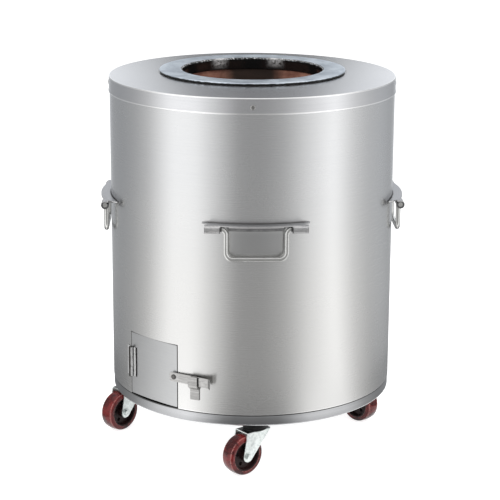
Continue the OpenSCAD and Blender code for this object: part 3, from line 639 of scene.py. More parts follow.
def wheelTread():
    # moulded maroon polyurethane: glossy and cloudy, with painted highlights on its shoulders and by the
    # hub's rim, its face dusty from the floor; spots give the place along the axle and the distance from it
    s = casterPaints
    paint = Paint("wheelTread", {"Coat Roughness": 0.05, "Specular IOR Level": 0.15})
    spots = paint.node("ShaderNodeAttribute", {"attribute_name": "spots"}, {}, 1)
    along, reach, free = paint.node("ShaderNodeSeparateXYZ", {}, [spots], range(3))
    cloud = paint.noise(paint.spot, 34.0, 4.0, 0.6, 0.5)
    scuff = paint.noise(paint.spot, 230.0, 5.0, 0.7)
    aside = abs(along) + (scuff - 0.5) * 0.002
    # painted highlights: pale bands on the shoulders and by the hub's rim
    shoulder = paint.band(aside, s["faceHalf"] - 0.001, s["faceHalf"] + 0.002, 0.0022, 0.0025)
    lip = paint.fall(reach, s["rimRadius"], s["rimRadius"] + 0.0012) * 0.8
    rubbed = paint.largest(shoulder, lip) * paint.fade(scuff + (cloud - 0.5) * 0.6, 0.4, 0.56)
    face = paint.fall(aside, s["faceHalf"] - 0.006, s["faceHalf"] - 0.001) * paint.fade(scuff, 0.48, 0.66)
    colour = paint.mix(paint.fade(cloud, 0.4, 0.62), s["treadDark"], s["treadColour"])
    colour = paint.mix(face * 0.12, colour, s["dust"])
    paint.feed(
        BaseColor=paint.mix(rubbed * 0.7, colour, s["rubbed"]),
        Roughness=s["treadRough"] + face * 0.3 + (cloud - 0.5) * 0.1,
        CoatWeight=0.4 - face * 0.25,
        Normal=paint.bump(scuff * 0.25 + cloud * 0.75, 0.35, 0.0012))
    return paint.material


def wheelHub():
    # moulded core, darker and duller than the tread, with flow marks; its near-black colour is partly painted
    # shade for the fork's shadow
    s = casterPaints
    paint = Paint("wheelHub", {"Specular IOR Level": 0.2})
    flow = paint.noise(paint.spot, 40.0, 4.0, 0.6, 1.2)
    grit = paint.noise(paint.spot, 320.0, 3.0)
    paint.feed(
        BaseColor=paint.mix(paint.fade(flow, 0.35, 0.68), s["hubMark"], s["hubColour"]),
        Roughness=0.42 + (grit - 0.5) * 0.25,
        Normal=paint.bump(grit, 0.2, 0.0003))
    return paint.material


def casterZinc():
    # bright zinc plating: faint spangle, rubbed patches and a few dull pits
    s = casterPaints
    paint = Paint("casterZinc", {"Metallic": 1.0})
    spangle = paint.node("ShaderNodeTexVoronoi", {"feature": "SMOOTH_F1"},
                         {"Vector": paint.spot, "Scale": 170.0, "Smoothness": 0.8})
    cloud = paint.noise(paint.spot, 28.0, 4.0, 0.6, 0.3)
    pits = paint.noise(paint.spot, 380.0, 4.0, 0.7)
    colour = paint.mix(paint.fade(cloud * 0.6 + spangle * 0.5, 0.34, 0.7), s["zincMark"], s["zincColour"])
    colour = paint.mix(paint.fade(pits, 0.66, 0.75) * 0.6, colour, s["zincPit"])
    crownShade = paint.fade(paint.z + cloud * 0.0004, s["raceLow"], s["raceLow"] + 0.0006)
    crownShade = crownShade * paint.fall(paint.z, s["raceHigh"], s["raceHigh"] + 0.0005)
    paint.feed(                             # painted shade: black on the crown, under the swivel's head
        BaseColor=paint.mix(crownShade * 0.9, colour, s["grease"]),
        Roughness=0.26 + cloud * 0.14 + spangle * 0.08,
        Normal=paint.bump(spangle * 0.5 + pits * 0.5, 0.12, 0.0004))
    return paint.material


wears = {"drumSteel": drumWear, "coverSteel": coverWear, "panSteel": panWear, "doorSteel": doorWear,
         "hingeSteel": hingeWear, "handleSteel": handleWear, "bailSteel": bailWear}
finishes = {name: brushedSteel(name, wears.get(name)) for name in steels}
finishes.update({
    "ringSteel": ringSteel(), "blackSeal": blackRubber("blackSeal"),
    "casterBlack": blackRubber("casterBlack", 0.008, 0.5), "clay": earthen("clay", potSootAndShade),
    "fibre": earthen("fibre"), "firebrick": earthen("firebrick"), "grateIron": earthen("grateIron"),
    "wheelTread": wheelTread(), "wheelHub": wheelHub(), "casterZinc": casterZinc(),
})
print("materials made:", len(finishes))


door = dict(azimuth=doorTurn, span=26.8, curve=700.0, curveCentre=-349.83, left=-81.07, right=79.67,
            low=157.6, high=315.8, thick=1.5, gap=1.2, corner=2.0, edge=0.25)
drum = dict(steps=272, openingSteps=16, rows=8, wall=1.5, edge=0.15)


def walls(radii, heights, azimuths):        # the two faces of a wall round the drum's axis
    return [spun(np.column_stack([radius + 0 * heights, heights]), azimuths) for radius in radii]


def openTube(radii, heights, half, top, openSteps, steps):
    # a wall all the way round, without the cells near the fire door that start below the opening's top
    first, last = door["azimuth"] - half, door["azimuth"] + half
    azimuths = np.concatenate([np.linspace(first, last, openSteps + 1)[:-1],
                               np.linspace(last, first + 360, steps + 1)[:-1]])
    keep = np.ones((len(azimuths), len(heights) - 1), bool)
    keep[:openSteps, heights[:-1] < top - 0.1] = False
    return sheet(*walls(radii, heights, azimuths), keep, wrapRows=True)


def drumShell():
    # the wall is a cylinder in azimuth and height, without the cells behind the fire door
    low, high = boxOf("drum_shell")
    top = door["high"] + door["gap"]
    heights = np.concatenate([[low[2]], np.linspace(top, high[2], drum["rows"])])
    shell = openTube((high[0], high[0] - drum["wall"]), heights, door["span"] / 2, top,
                     drum["openingSteps"], drum["steps"])
    piece("drumShell", [shell], "drumSteel", "oven", ["drum_shell"], edge=drum["edge"])


cover = dict(steps=288, holeRadius=186.0, sheet=1.5, corner=2.4, hem=1.7, rise=7.0, landRadius=235.0)


def topCover():
    # a folded profile of land, slope, flange and rolled hem goes round the axis
    low, high = boxOf("top_cover")
    outside, land, hem = high[0], high[2], cover["hem"]
    edge, inside, under = land - cover["rise"], outside - cover["sheet"], cover["sheet"]
    foot = arcOf((outside - cover["sheet"] / 2 + 0.2, low[2] + hem), hem, 150, 395, 12)
    hole, knee = cover["holeRadius"], cover["landRadius"]
    upper = softened([(inside, low[2] + 8, 0), (inside, edge - under, 0.7), (knee, land - under, 4),
                      (hole, land - under, 0), (hole, land, 0.5), (knee, land, 4),
                      (outside, edge, cover["corner"]), (outside, low[2] + 8, 0)], steps=8)
    profile = np.vstack([upper, foot[::-1]])
    piece("topCover", [skin(spun(profile, ring(cover["steps"])))], "coverSteel",
          "oven", ["top_cover"])


screw = dict(azimuth=0.3, count=4, height=905.5, radius=6.0, rim=0.9, dome=1.6, slot=0.6, slotReach=3.4,
             slotDeep=1.3, steps=64)


def coverScrews():
    # pan heads: height falls from the middle to the rim, less a cross-shaped dip
    seat = boxOf("top_cover")[1][0]
    share = np.concatenate([np.linspace(0, 0.62, 16), np.linspace(0.66, 1, 8), [1, 0.9, 0]])
    angles = np.radians(ring(screw["steps"]))[:, None]
    radius = share * screw["radius"]
    lift = screw["rim"] + screw["dome"] * np.sqrt(np.clip(1 - share ** 2, 0, 1))
    arm = radius * np.minimum(np.abs(np.sin(angles)), np.abs(np.cos(angles)))
    dip = np.clip((screw["slot"] - arm) / 0.15 + 0.5, 0, 1)
    dip *= np.clip((screw["slotReach"] - radius) / 0.4, 0, 1)
    height = lift - dip * screw["slotDeep"]
    height[:, -3:] = [[0.0, -0.4, -0.4]]
    head = skin(wheeled(radius, -seat - height, screw["steps"], (0, screw["height"])), wrapColumns=False)
    shells = [turned(head, azimuth) for azimuth in ring(screw["count"], screw["azimuth"])]
    piece("coverScrews", shells, "fittingSteel", "oven", ["cover_screws"], sharp=30)


mouth = dict(steps=288, bore=174.0, collar=3.0, plate=5.0, outerEdge=1.6, innerEdge=4.0, sealWidth=18.0)


def mouthRing():
    # the ring's plate and its collar are one profile with rounded edges
    low, high = boxOf("mouth_ring")
    foot, bore, collar = high[2] - mouth["plate"], mouth["bore"], mouth["bore"] + mouth["collar"]
    profile = softened([(bore, low[2], 1.2), (collar, low[2], 1.2), (collar, foot, 1),
                        (high[0], foot, mouth["outerEdge"]), (high[0], high[2], mouth["outerEdge"]),
                        (bore, high[2], mouth["innerEdge"])], steps=8, closed=True)
    piece("mouthRing", [skin(spun(profile, ring(mouth["steps"])))], "ringSteel",
          "oven", ["mouth_ring"])


def ringSeal():
    # a squeezed rope of sealant between ring and cover: its side bulges by a few slow waves
    low, high = boxOf("ring_seal")
    azimuths = ring(mouth["steps"])
    inside = high[0] - mouth["sealWidth"]
    profile = softened([(inside, low[2], 0.5), (high[0], low[2], 0.7), (high[0], high[2], 0.7),
                        (inside, high[2], 0.5)], steps=5, closed=True)
    grid = spun(profile, azimuths)
    a = np.radians(azimuths)
    swell = 1 + (0.5 * np.sin(9 * a) + 0.4 * np.sin(23 * a + 1) + 0.3 * np.sin(41 * a + 2)) / high[0]
    grid[..., :2] *= swell[:, None, None]
    piece("ringSeal", [skin(grid)], "blackSeal", "oven", ["ring_seal"])


pot = dict(steps=192, rows=96, foot=228.0, belly=246.0, bellyAt=0.36, neck=179.0, wall=32.0, ripple=0.8,
           ripplePitch=13.0, ductHalf=16.9, ductTop=306.8, ductSteps=12, lip=5.0)


def clayPot():
    # the inside radius swells from foot to belly by a sine and draws in to the neck by a cosine; a fine sine
    # along the height makes throwing rings
    low, high = boxOf("clay_pot")
    heights = np.linspace(low[2], high[2], pot["rows"] + 1)
    heights = np.sort(np.append(heights, pot["ductTop"]))
    share = (heights - low[2]) / (high[2] - low[2])
    below = pot["foot"] + (pot["belly"] - pot["foot"]) * np.sin(np.pi / 2 * share / pot["bellyAt"])
    drawn = np.cos(np.pi * (share - pot["bellyAt"]) / (1 - pot["bellyAt"]))
    above = pot["neck"] + (pot["belly"] - pot["neck"]) * (1 + drawn) / 2
    inside = np.where(share < pot["bellyAt"], below, above)
    rings = pot["ripple"] * np.sin(2 * np.pi * heights / pot["ripplePitch"])
    rings *= np.clip((1 - share) * 12, 0, 1)
    ease = np.clip((heights - (high[2] - pot["lip"])) / pot["lip"], 0, 1)
    lip = pot["lip"] * (1 - np.sqrt(np.clip(1 - ease ** 2, 0, 1)))
    radii = (inside + pot["wall"] - lip, inside + rings + lip)
    shell = openTube(radii, heights, pot["ductHalf"], pot["ductTop"], pot["ductSteps"], pot["steps"])
    piece("clayPot", [shell], "clay", "oven", ["clay_pot"], sharp=60)


pan = dict(steps=256, sheet=2.0, bend=5.0, seam=0.9, tuck=18.0, tuckGap=0.8, pocket=14.2)


def basePan():
    # a dished pan whose rim stands under the drum, and the strip that tucks up inside the drum
    low, high = boxOf("base_pan")
    radius, foot, thick = boxOf("drum_shell")[1][0] - 1, low[2], pan["sheet"]
    rim = boxOf("drum_shell")[0][2]
    profile = softened([
        (0, foot, 0), (radius, foot, pan["bend"]), (radius, rim - 0.2, pan["seam"]),
        (radius - thick, rim - 0.2, 0), (radius - thick, foot + thick, pan["bend"] - thick),
        (0, foot + thick, 0)], steps=8)
    dish = skin(spun(profile, ring(pan["steps"])), wrapColumns=False)
    outside = radius - pan["tuckGap"]
    azimuths = np.linspace(door["azimuth"] + pan["pocket"], door["azimuth"] - pan["pocket"] + 360, 200)
    tuck = sheet(*walls((outside, outside - thick), np.array([rim - 3, rim + pan["tuck"]]), azimuths))
    piece("basePan", [dish, tuck], "panSteel", "oven", ["base_pan"])


for make in (drumShell, topCover, coverScrews, mouthRing, ringSeal, clayPot, basePan):
    make()
print("drum, cover, mouth and pot made")


def doorCurve(x, radius):                   # how far out the door's skin lies at a place along its chord
    return door["curveCentre"] + np.sqrt(radius ** 2 - x ** 2)


def doorPanel():
    # a rectangle with small round corners lies on a cylinder that is flatter than the drum
    height, quarter = (door["high"] - door["low"]) / door["corner"], np.linspace(0, np.pi / 2, 7)
    ease = np.concatenate([1 - np.cos(quarter), np.linspace(2, height - 2, 8), height - 1 + np.sin(quarter)])
    z = door["low"] + ease * door["corner"]
    near = np.clip(1 - np.minimum(z - door["low"], door["high"] - z) / door["corner"], 0, 1)
    inset = door["corner"] * (1 - np.sqrt(1 - near ** 2))
    across = np.linspace(0, 1, 41)[:, None]
    x = (door["left"] + inset) * (1 - across) + (door["right"] - inset) * across
    z = np.broadcast_to(z, x.shape)
    outer = reordered(x, -doorCurve(x, door["curve"]), z)
    inner = reordered(x, -doorCurve(x, door["curve"] - door["thick"]), z)
    piece("doorPanel", [turned(sheet(outer, inner), door["azimuth"])], "doorSteel",
          "door", ["door_panel"], edge=door["edge"], edgeSteps=3)


latch = dict(azimuth=-31.2, height=236.0, width=23.0, radius=358.0, thick=2.5, tail=12.0, length=96.0,
             bend=9.0, turn=35.0, tip=7.0, corner=3.0, edge=0.6, rivetHead=6.5, rivetLift=2.2,
             flange=355.6, azimuthCatch=-22.2, catchWidth=24.0, catchFoot=185.6, catchKnee=213.0,
             catchShelf=223.0, catchTop=247.5, catchIn=369.0, seat=355.3)


def latchBar():
    # a flat bar whose far end turns outwards: its plan is a line, an arc and a tip
    s = latch
    straight = np.column_stack([np.linspace(-s["tail"], s["length"], 30), np.full(30, -s["radius"])])
    centre = np.array([s["length"], -s["radius"] - s["thick"] - s["bend"]])
    curve = arcOf(centre, s["bend"] + s["thick"], 90, s["turn"], 10)[1:]
    lean = np.array([math.sin(math.radians(s["turn"])), -math.cos(math.radians(s["turn"]))])
    tip = curve[-1] + np.linspace(0, s["tip"], 6)[1:, None] * lean
    inner = np.vstack([straight, curve, tip])
    outer = offset(inner, s["thick"])
    run = np.concatenate([[0], np.cumsum(np.linalg.norm(np.diff(inner, axis=0), axis=1))])
    ends = np.clip(1 - np.minimum(run, run[-1] - run) / s["corner"], 0, 1)
    half = s["width"] / 2 - s["corner"] * (1 - np.sqrt(1 - ends ** 2))
    up = np.linspace(-1, 1, 9)
    z = s["height"] + half[:, None] * up
    faces = [reordered(side[:, :1], side[:, 1:], z) for side in (outer, inner)]
    piece("latchBar", [turned(sheet(*faces), s["azimuth"])], "fittingSteel",
          "latch", ["latch_bar"], edge=s["edge"], edgeSteps=3)


def latchRivet():
    # flange behind the bar, shank through it and a domed head with a small flat
    s = latch
    front = s["radius"] + s["thick"] + 0.2
    wide, behind, top = s["rivetHead"], s["radius"] - 0.2, front + s["rivetLift"]
    head = softened([(4, front, 0), (wide, front, 0.3), (wide, front + 0.7, 0.5), (wide - 2, top, 1.4),
                     (0, top, 0)], steps=5)
    back = softened([(0, s["flange"], 0), (wide, s["flange"], 0.3), (wide, behind, 0.3), (4, behind, 0),
                     (4, front, 0)], steps=3)
    radius, reach = np.vstack([back, head[1:]]).T
    rivet = skin(wheeled(radius, -reach, 48, (0, s["height"])), wrapColumns=False)
    piece("latchRivet", [turned(rivet, s["azimuth"])], "rivetSteel",
          "door", ["latch_rivet"])


def latchCatch():
    # a strap welded to the drum steps outwards over a knee and rises in front of the bar
    s = latch
    line = softened([(s["seat"], s["catchFoot"], 0), (s["seat"], s["catchKnee"], 5),
                     (s["catchIn"], s["catchShelf"], 5), (s["catchIn"], s["catchTop"], 0)])
    across = np.linspace(-s["catchWidth"] / 2, s["catchWidth"] / 2, 9)
    strap = swept((offset(line, s["thick"]), line), across)
    piece("latchCatch", [turned(strap, s["azimuthCatch"])], "fittingSteel", "oven",
          ["latch_catch"], edge=s["edge"], edgeSteps=3)


for make in (doorPanel, latchBar, latchRivet, latchCatch):
    make()
print("fire door and latch made")


handle = dict(azimuth=handleTurn, reach=380.0, weld=355.3, top=630.0, thick=3.0, half=127.0, chamfer=22.0,
              wallHalf=64.0, lip=5.0, back=18.0, lipThick=2.5, edge=0.7, pivot=365.0, pivotHeight=620.0,
              barrel=10.0, bore=6.1, barrelIn=84.5, barrelOut=122.0, curl=292.0, rod=6.0, leg=72.0,
              bend=12.0, corner=18.0, drop=73.0, rodEnd=121.0, tipY=335.5, run=8.0, sink=0.8)
sides = {"front": 0, "right": 90, "rear": 180, "left": 270}


def handlePlate():
    # between the drum's curve and the outer curve, cut off by a chamfer towards each tip
    s = handle
    plain = s["half"] - s["chamfer"]
    x = np.concatenate([np.linspace(-s["half"], -plain, 9)[:-1], np.linspace(-plain, plain, 61),
                        np.linspace(plain, s["half"], 9)[1:]])
    tip = np.clip((np.abs(x) - plain) / s["chamfer"], 0, 1)
    inner = np.sqrt(s["weld"] ** 2 - x ** 2)
    curve = np.sqrt(s["reach"] ** 2 - x ** 2)
    chamferStart = math.sqrt(s["reach"] ** 2 - plain ** 2)
    outer = np.where(tip > 0, chamferStart + (s["tipY"] - chamferStart) * tip, curve)
    share = np.linspace(0, 1, 7)
    y = -(inner[:, None] * (1 - share) + outer[:, None] * share)
    top = reordered(x[:, None], y, s["top"])
    return sheet(top, top - np.array([0, 0, s["thick"]]))


def handleWall(outside, inside, low):
    # a wall on the drum's curve hangs down from the plate
    s = handle
    reach = math.degrees(math.asin(s["wallHalf"] / outside))
    azimuths = np.linspace(-reach, reach, 41)
    heights = np.linspace(low, s["top"] - s["thick"] / 2, 4)
    return sheet(*walls((outside, inside), heights, azimuths))


def handleBarrel(side):
    # the plate's edge runs out over the rod and curls round it
    s = handle
    angles = np.radians(np.linspace(90, 90 + s["curl"], 48))
    curl = [np.column_stack([s["pivot"] - r * np.cos(angles), s["pivotHeight"] + r * np.sin(angles)])
            for r in (s["barrel"], s["bore"])]
    flat = [np.array([[s["pivot"] - s["run"], z - drop], [s["pivot"] - s["run"] / 2, z - drop / 2]])
            for z, drop in ((s["top"], s["sink"]), (s["top"] - s["barrel"] + s["bore"], 0.0))]
    outer, inner = np.vstack([flat[0], curl[0]]), np.vstack([flat[1], curl[1]])
    return swept((outer, inner), side * np.linspace(s["barrelIn"], s["barrelOut"], 8))


def bailRod():
    # a round rod in at one barrel, down one leg, along, up the other leg and in at the other barrel
    s = handle
    high, low = s["pivotHeight"], s["pivotHeight"] - s["drop"]
    half = [(-s["rodEnd"], high, 0), (-s["leg"], high, s["bend"]), (-s["leg"], low, s["corner"])]
    line = softened(half + [(-x, z, radius) for x, z, radius in half[::-1]], steps=12)
    path = np.column_stack([line[:, 0], np.full(len(line), -s["pivot"]), line[:, 1]])
    return rod(path, s["rod"], 28)


def handles():                              # four brackets with their bails
    s = handle
    shells = [handlePlate(), handleWall(s["reach"], s["reach"] - s["lipThick"], s["top"] - s["lip"]),
              handleWall(s["weld"] + 2, s["weld"], s["top"] - s["back"]), handleBarrel(-1), handleBarrel(1)]
    bail = bailRod()
    for name, azimuth in sides.items():
        turn = s["azimuth"] + azimuth
        piece(f"handleBracket{name.title()}", [turned(shell, turn) for shell in shells], "handleSteel",
              "oven", [f"handle_bracket_{name}"], edge=s["edge"], edgeSteps=3)
        piece(f"handleBail{name.title()}", [turned(bail, turn)], "bailSteel",
              f"bail_{name}", [f"handle_bail_{name}"], edge=0.5)


handles()
print("handles made")


caster = dict(azimuth=handleTurn, circle=315.0,
              heading={"front": 39, "right": -45, "rear": 219, "left": 48}, trail=38.0, wheel=50.0,
              treadWidth=38.0, treadRound=6.0, treadCrown=1.2, hub=38.1, legOut=24.0, legThick=3.0,
              crownHalf=36.0, crownLead=4.0, crownTop=110.0, crownBend=4.0, crownFoot=105.0,
              crownFace=111.0, boss=14.0, ribLift=1.1, ribHalf=7.0, ribLow=64.0, ribHigh=100.0,
              ribFade=8.0, headRadius=29.0, headLow=113.0, headHigh=127.0, pin=7.0, pinLow=98.0,
              pinHead=11.0, pinThick=3.0, raceIn=18.0, raceOut=26.0, groove=3.15, balls=14, ball=3.0,
              ballCircle=22.0, ballHeight=112.0, shaft=5.0, shaftProud=1.6, hexApothem=7.45, hexHead=6.4,
              hexNut=8.0, hexFall=0.58, washer=10.5, washerThick=1.4, washerIn=0.2)


def axleSpin(profile, steps=64):
    # a profile of radius and place along the axle goes round the axle
    radius, along = np.asarray(profile, float).T
    return wheeled(radius, along, steps, (-caster["trail"], caster["wheel"]))


def treadShell():
    # rounded shoulders, a crowned face and a fine parting line round the middle
    s = caster
    half, face = s["treadWidth"] / 2, s["wheel"] - s["treadCrown"]
    shoulder = arcOf((-half + s["treadRound"], face - s["treadRound"]), s["treadRound"], 180, 96, 12)
    along = np.linspace(-half + s["treadRound"], half - s["treadRound"], 33)
    crown = s["wheel"] - s["treadCrown"] * (along / (half - s["treadRound"])) ** 2
    crown += 0.25 * np.exp(-(along / 0.6) ** 2) - 0.25
    left = np.column_stack([shoulder[:, 1], shoulder[:, 0]])
    right = left[::-1] * [1, -1]
    inner = [(s["hub"], along) for along in (half, half - 2, -half + 2, -half)]
    profile = np.vstack([left, np.column_stack([crown, along])[1:-1], right, inner])
    spots = np.broadcast_to(np.column_stack([profile[:, 1], profile[:, 0], 0 * profile[:, 0]]),
                            (112, len(profile), 3)).reshape(-1, 3)
    return skin(axleSpin(profile, 112)), spots


def legEdges(height):
    # the leg's left and right edge at a height: straight lines that touch the boss, then the boss itself
    s = caster
    out = []
    for side in (-1, 1):
        corner = np.array([side * s["crownHalf"] - s["crownLead"], s["crownTop"]])
        centre = np.array([-s["trail"], s["wheel"]])
        far = corner - centre
        reach = np.linalg.norm(far)
        angle = math.atan2(far[1], far[0]) - side * math.acos(s["boss"] / reach)
        touch = centre + s["boss"] * np.array([math.cos(angle), math.sin(angle)])
        line = touch[0] + (corner[0] - touch[0]) * (height - touch[1]) / (corner[1] - touch[1])
        curve = centre[0] + side * np.sqrt(np.clip(s["boss"] ** 2 - (height - centre[1]) ** 2, 0, None))
        out.append(np.where(height > touch[1], line, curve))
    return out


def forkShell():
    # one strip folded over the crown; its width follows the legs' edges and a rib is pressed into each leg
    s = caster
    low = s["wheel"] - s["boss"] * np.cos(np.linspace(0, np.pi / 2, 9))
    up = np.concatenate([low, np.linspace(s["wheel"], s["crownTop"] - s["crownBend"], 15)[1:]])
    leg = np.column_stack([np.full(len(up), -s["legOut"]), up])
    bend = s["crownBend"]
    corner = arcOf((-s["legOut"] + bend, s["crownTop"] - bend), bend, 180, 90, 8)[1:]
    half = np.vstack([leg, corner, [[-8.0, s["crownTop"]], [0.0, s["crownTop"]]]])
    outer = np.vstack([half, half[-2::-1] * [-1, 1]])
    along = ways(outer)
    normal = np.column_stack([-along[:, 1], along[:, 0]])
    left, right = legEdges(outer[:, 1])
    share = np.linspace(0, 1, 17)
    x = left[:, None] * (1 - share) + right[:, None] * share
    middle = ((left + right) / 2)[:, None]
    press = np.clip((outer[:, 1:] - s["ribLow"]) / s["ribFade"], 0, 1)
    press *= np.clip((s["ribHigh"] - outer[:, 1:]) / s["ribFade"], 0, 1)
    rib = s["ribLift"] * press * np.exp(-((x - middle) / s["ribHalf"]) ** 2)
    faces = []
    for depth in (0.0, s["legThick"]):
        place = outer[:, None] + normal[:, None] * (rib[..., None] - depth)
        faces.append(reordered(x, place[..., 0], place[..., 1]))
    return sheet(*faces)


def diskShell(profile, steps=72):           # a profile of radius and height round an upright line
    return skin(spun(profile, ring(steps)), wrapColumns=False)


def raceGroove(start, end):                 # the section of the groove that the balls run in
    return arcOf((caster["ballCircle"], caster["ballHeight"]), caster["groove"], start, end, 8)


def crownShell():
    # the pressed race on the crown, with the lower half of the groove
    s = caster
    r, foot, face = s["headRadius"], s["crownFoot"], s["crownFace"]
    rim = softened([(0, foot, 0), (r - 1, foot, 1), (r, face, 1.2), (s["raceOut"], face, 0)])
    return diskShell(np.vstack([rim, raceGroove(342, 198), [[s["pin"] + 1, face], [0, face]]]))


def headShell():
    # the black swivel head above the balls, its kingpin and the pin's head that holds the crown
    s = caster
    r, low, high, foot, flange = s["headRadius"], s["headLow"], s["headHigh"], s["pinLow"], s["pinHead"]
    top = foot + s["pinThick"]
    head = softened([(0, foot, 0), (flange, foot, 1), (flange, top, 1), (s["pin"], top, 0)])
    dome = softened([(r, low, 0), (r, low + 1, 0), (r, high, 6), (0, high, 0)], steps=8)
    return diskShell(np.vstack([head, [[s["pin"], low], [s["raceIn"], low]], raceGroove(162, 18), dome]))


def ballShells():
    # each ball is a half circle spun upright; the balls stand evenly round the race
    s = caster
    ball = diskShell(arcOf((0, 0), s["ball"], -90, 90, 14), 28)
    places = spun([(s["ballCircle"], s["ballHeight"])], 90 + ring(s["balls"]))[:, 0]
    return [turned(ball, 0, place) for place in places]


def hexShell(face, length):
    # radius runs out to a hexagon; the outer face falls off past the circle inside the flats
    s = caster
    angles = np.radians(ring(72))[:, None]
    edge = s["hexApothem"] / np.cos((angles + np.pi / 6) % (np.pi / 3) - np.pi / 6)
    share = np.array([0, 0.5, 0.8, 0.86, 0.9, 0.94, 0.97, 1, 1, 1, 0])
    radius = share * edge
    fall = s["hexFall"] * np.clip(radius - 0.96 * s["hexApothem"], 0, None)
    along = face + np.sign(face) * (length - fall)
    along[:, -2:] = face
    along[:, -3] = face + np.sign(face) * 0.6 * length
    return skin(wheeled(radius, along, 72, (-s["trail"], s["wheel"])), wrapColumns=False)


def washerShell(face):
    # a thin disc with a rounded rim against the leg
    s = caster
    wide, front = s["washer"], face + math.copysign(s["washerThick"], face)
    profile = softened([(0, face, 0), (wide, face, 0.3), (wide, front, 0.6), (0, front, 0)], steps=4)
    return skin(axleSpin(profile), wrapColumns=False)


def axleShells():
    # a bolt through both legs, its head and its nut, which reach a little into their washers
    s = caster
    out, under = s["legOut"], s["washerThick"] - s["washerIn"]
    thick, end = s["shaft"], out + s["hexNut"] + s["shaftProud"]
    shaft = softened([(0, -out - 1, 0), (thick, -out - 1, 0), (thick, end, 0.8), (0, end, 0)], steps=4)
    return [skin(axleSpin(shaft, 40), wrapColumns=False), hexShell(-out - under, s["hexHead"] - under),
            hexShell(out + under, s["hexNut"] - under), washerShell(-out), washerShell(out)]


def casters():                              # four casters, each turned to its own heading
    tread, spots = treadShell()
    parts = {"fork": ([forkShell(), crownShell()], "casterZinc", "caster_zinc", "fork_{}", 0.5, None),
             "head": ([headShell()], "casterBlack", "caster_black", "oven", 0, None),
             "axle": (axleShells(), "casterZinc", "caster_zinc", "fork_{}", 0, None),
             "tread": ([tread], "wheelTread", "wheel_tread", "wheel_{}", 0, spots),
             "balls": (ballShells(), "bearingSteel", "bearing_steel", "oven", 0, None)}
    for name, azimuth in sides.items():
        place = spun([(caster["circle"], 0)], [caster["azimuth"] + azimuth])[0, 0]
        for part, (shells, finish, slot, body, edge, marks) in parts.items():
            placed = [turned(shell, caster["heading"][name], place) for shell in shells]
            piece(f"caster{part.title()}{name.title()}", placed, finish, body.format(name),
                  [f"caster_{part}_{name}"], edge=edge, spots=marks)


casters()
print("casters made")


keptNodes = {
    "insulation": "fibre", "floor_slab": "firebrick", "grate_stand": "firebrick", "door_liner": "ductSteel",
    "charcoal_grate": "grateIron", "base_frame": "frameSteel", "air_duct": "ductSteel",
    "hinge_fixed_leaf": "hingeSteel", "hinge_door_leaf": "hingeSteel", "hinge_pin": "rivetSteel",
    "caster_nuts": "casterZinc",
}
keptNodes.update({f"caster_hub_{name}": "wheelHub" for name in sides})


def dress(nodeNames):                       # gives CAD nodes a finish in their own material slots
    for node, finish in nodeNames.items():
        made = bpy.data.objects[frame["nodes"][node].name]
        if not made.material_slots:
            made.data.materials.append(None)
        for place in made.material_slots:
            place.material = finishes[finish]


dress(keptNodes)
print("nodes that stay:", len(keptNodes))


studio = dict(
    cameraPlace=(0, -4.23697, 1.60432), pitch=14.9555, roll=0.28, yaw=0.048856, lens=123.43, sensor=36.0,
    floorSize=30.0, floorDiffuse=0.62, floorGlow=0.83, ambient=0.55,
    tentRadius=3.2, tentHeight=3.6, tentInner=0.46, tentLift=0.0015,
    # azimuth and brightness of the studio's wall as the metal sees it
    wall=[(-180, 0.2), (-175, 0.3), (-171, 0.72), (-166, 1.1), (-158, 0.66), (-146, 0.42), (-122, 0.41),
          (-104, 0.48), (-86, 0.68), (-62, 1.36), (-42, 1.3), (-26, 0.83), (-10, 0.4), (8, 0.4), (24, 0.54),
          (42, 0.95), (64, 1.41), (84, 0.86), (100, 0.66), (122, 0.58), (146, 0.43), (158, 0.66), (166, 1.15),
          (171, 0.75), (175, 0.3), (180, 0.2)],
    cool=(-0.03, -0.005, 0.03), coolFrom=85.0, coolTo=125.0,
    nearFrom=0.85, nearTo=1.7, nearFront=0.07, nearSide=0.27, sideFrom=35.0, sideTo=110.0,
    # how bright the floor under the pan is, by azimuth to both sides
    pan=[(0, 0.6), (17, 0.6), (27, 1.05), (36, 1.26), (47, 1.1), (61, 0.86), (80, 0.72), (104, 0.66),
         (180, 0.75)],
    panFrom=0.81, panTo=0.87,
    aim=(0, 0, 0.5),
    lamps={"key": ((-1.9, -2.6, 2.9), 1.8, 62.0), "fill": ((2.4, -1.8, 2.4), 2.0, 34.0),
           "top": ((0.2, 0.6, 3.4), 2.4, 40.0)},
)


def camera():
    # yaw about Z, then the tilt down, then the roll about the view line
    data = bpy.data.cameras.new("camera")
    data.lens, data.sensor_width = studio["lens"], studio["sensor"]
    made = added("camera", data)
    view = Matrix.Translation(studio["cameraPlace"])
    for angle, axis in ((studio["yaw"], "Z"), (90 - studio["pitch"], "X"), (studio["roll"], "Z")):
        view = view @ Matrix.Rotation(math.radians(angle), 4, axis)
    made.matrix_world = view
    bpy.context.scene.camera = made


def seenDirectly(paint):                    # 1 for camera, glossy and transmission rays
    rays = ("Is Camera Ray", "Is Glossy Ray", "Is Transmission Ray")
    return paint.largest(*[paint.node("ShaderNodeLightPath", {}, {}, ray) for ray in rays])


def world():                                # even light, dimmer where only a matte surface sees it
    made = bpy.data.worlds.new("world")
    bpy.context.scene.world = made
    made.use_nodes = True
    paint = Tree(made.node_tree)
    sky = paint.tree.nodes["Background"]
    sky.inputs["Color"].default_value = tinted(1.0)
    level = studio["ambient"] + seenDirectly(paint) * (1 - studio["ambient"])
    paint.tree.links.new(level.socket, sky.inputs["Strength"])


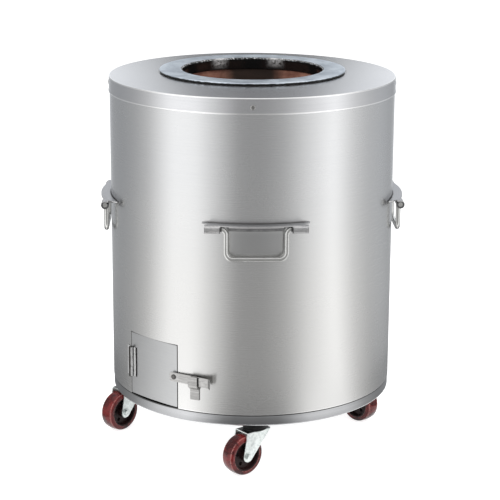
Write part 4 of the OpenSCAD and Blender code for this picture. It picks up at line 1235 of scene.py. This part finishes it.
def stageMesh(name, grid, wrapRows):
    # a stage surface from a grid in metres
    rows, columns = grid.shape[:2]
    mesh = bpy.data.meshes.new(name)
    mesh.from_pydata(grid.reshape(-1, 3).tolist(), [], quads(rows, columns, wrapRows, False).tolist())
    made = added(name, mesh)
    return made


def floor():
    # pale floor: it glows white for the camera and keeps the shadow through its diffuse part
    half = studio["floorSize"] / 2
    line = np.array([-half, half])
    made = stageMesh("floor", reordered(line[:, None], line[None], 0.0), False)
    paint = Paint("floorPaint")
    matte = paint.node("ShaderNodeBsdfDiffuse", {}, {"Color": tinted(studio["floorDiffuse"])})
    glow = paint.node("ShaderNodeEmission", {}, {"Strength": seenDirectly(paint) * studio["floorGlow"]})
    paint.surface(paint.node("ShaderNodeAddShader", {}, [matte, glow]))
    made.data.materials.append(paint.material)


def tent():
    # a round wall and the floor inside it, graded by azimuth; only mirror-like rays see it
    s = studio
    profile = np.array([(s["tentInner"], s["tentLift"]), (s["tentRadius"], s["tentLift"]),
                        (s["tentRadius"], s["tentHeight"])])
    made = stageMesh("tent", spun(profile, ring(96)), True)
    paint = Paint("tentPaint")
    along, radius, height = paint.roundAxis()
    azimuths, levels = np.array(s["wall"]).T
    cool = np.clip((np.abs(azimuths) - s["coolFrom"]) / (s["coolTo"] - s["coolFrom"]), 0, 1)
    colours = levels[:, None] / 2 * (1 + cool[:, None] * s["cool"])
    stops = [(azimuth / 360 + 0.5, tuple(colour)) for azimuth, colour in zip(azimuths, colours)]
    ramp = paint.node("ShaderNodeValToRGB", {"stops": stops}, [along / (drumRadius * 2 * math.pi) + 0.5])
    close = paint.fall(radius, s["nearFrom"], s["nearTo"])
    aside = paint.fade(abs(along / drumRadius), math.radians(s["sideFrom"]), math.radians(s["sideTo"]))
    stops = [(azimuth / 180, (level / 2,) * 3) for azimuth, level in s["pan"]]
    under = paint.node("ShaderNodeValToRGB", {"stops": stops}, [abs(along / drumRadius) / math.pi])
    under = 1 + paint.fall(radius, s["panFrom"], s["panTo"]) * (2 * under - 1)
    strength = 2 * under * (1 + close * (s["nearFront"] - s["nearSide"] * aside))
    paint.surface(paint.node("ShaderNodeEmission", {}, {"Color": ramp, "Strength": strength}))
    made.data.materials.append(paint.material)
    made.visible_camera = False
    made.visible_diffuse = False
    made.visible_shadow = False
    made.visible_transmission = False


def lamps():                                # round lamps that aim at the drum and leave no glints
    for name, (place, size, power) in studio["lamps"].items():
        data = bpy.data.lights.new(name, "AREA")
        data.shape, data.size, data.energy = "DISK", size, power
        made = added(name, data)
        made.location = place
        made.rotation_euler = (Vector(studio["aim"]) - made.location).to_track_quat("-Z", "Y").to_euler()
        made.visible_glossy = False


camera()
world()
floor()
tent()
lamps()
bpy.context.scene.view_settings.view_transform = "Standard"
print("studio made")
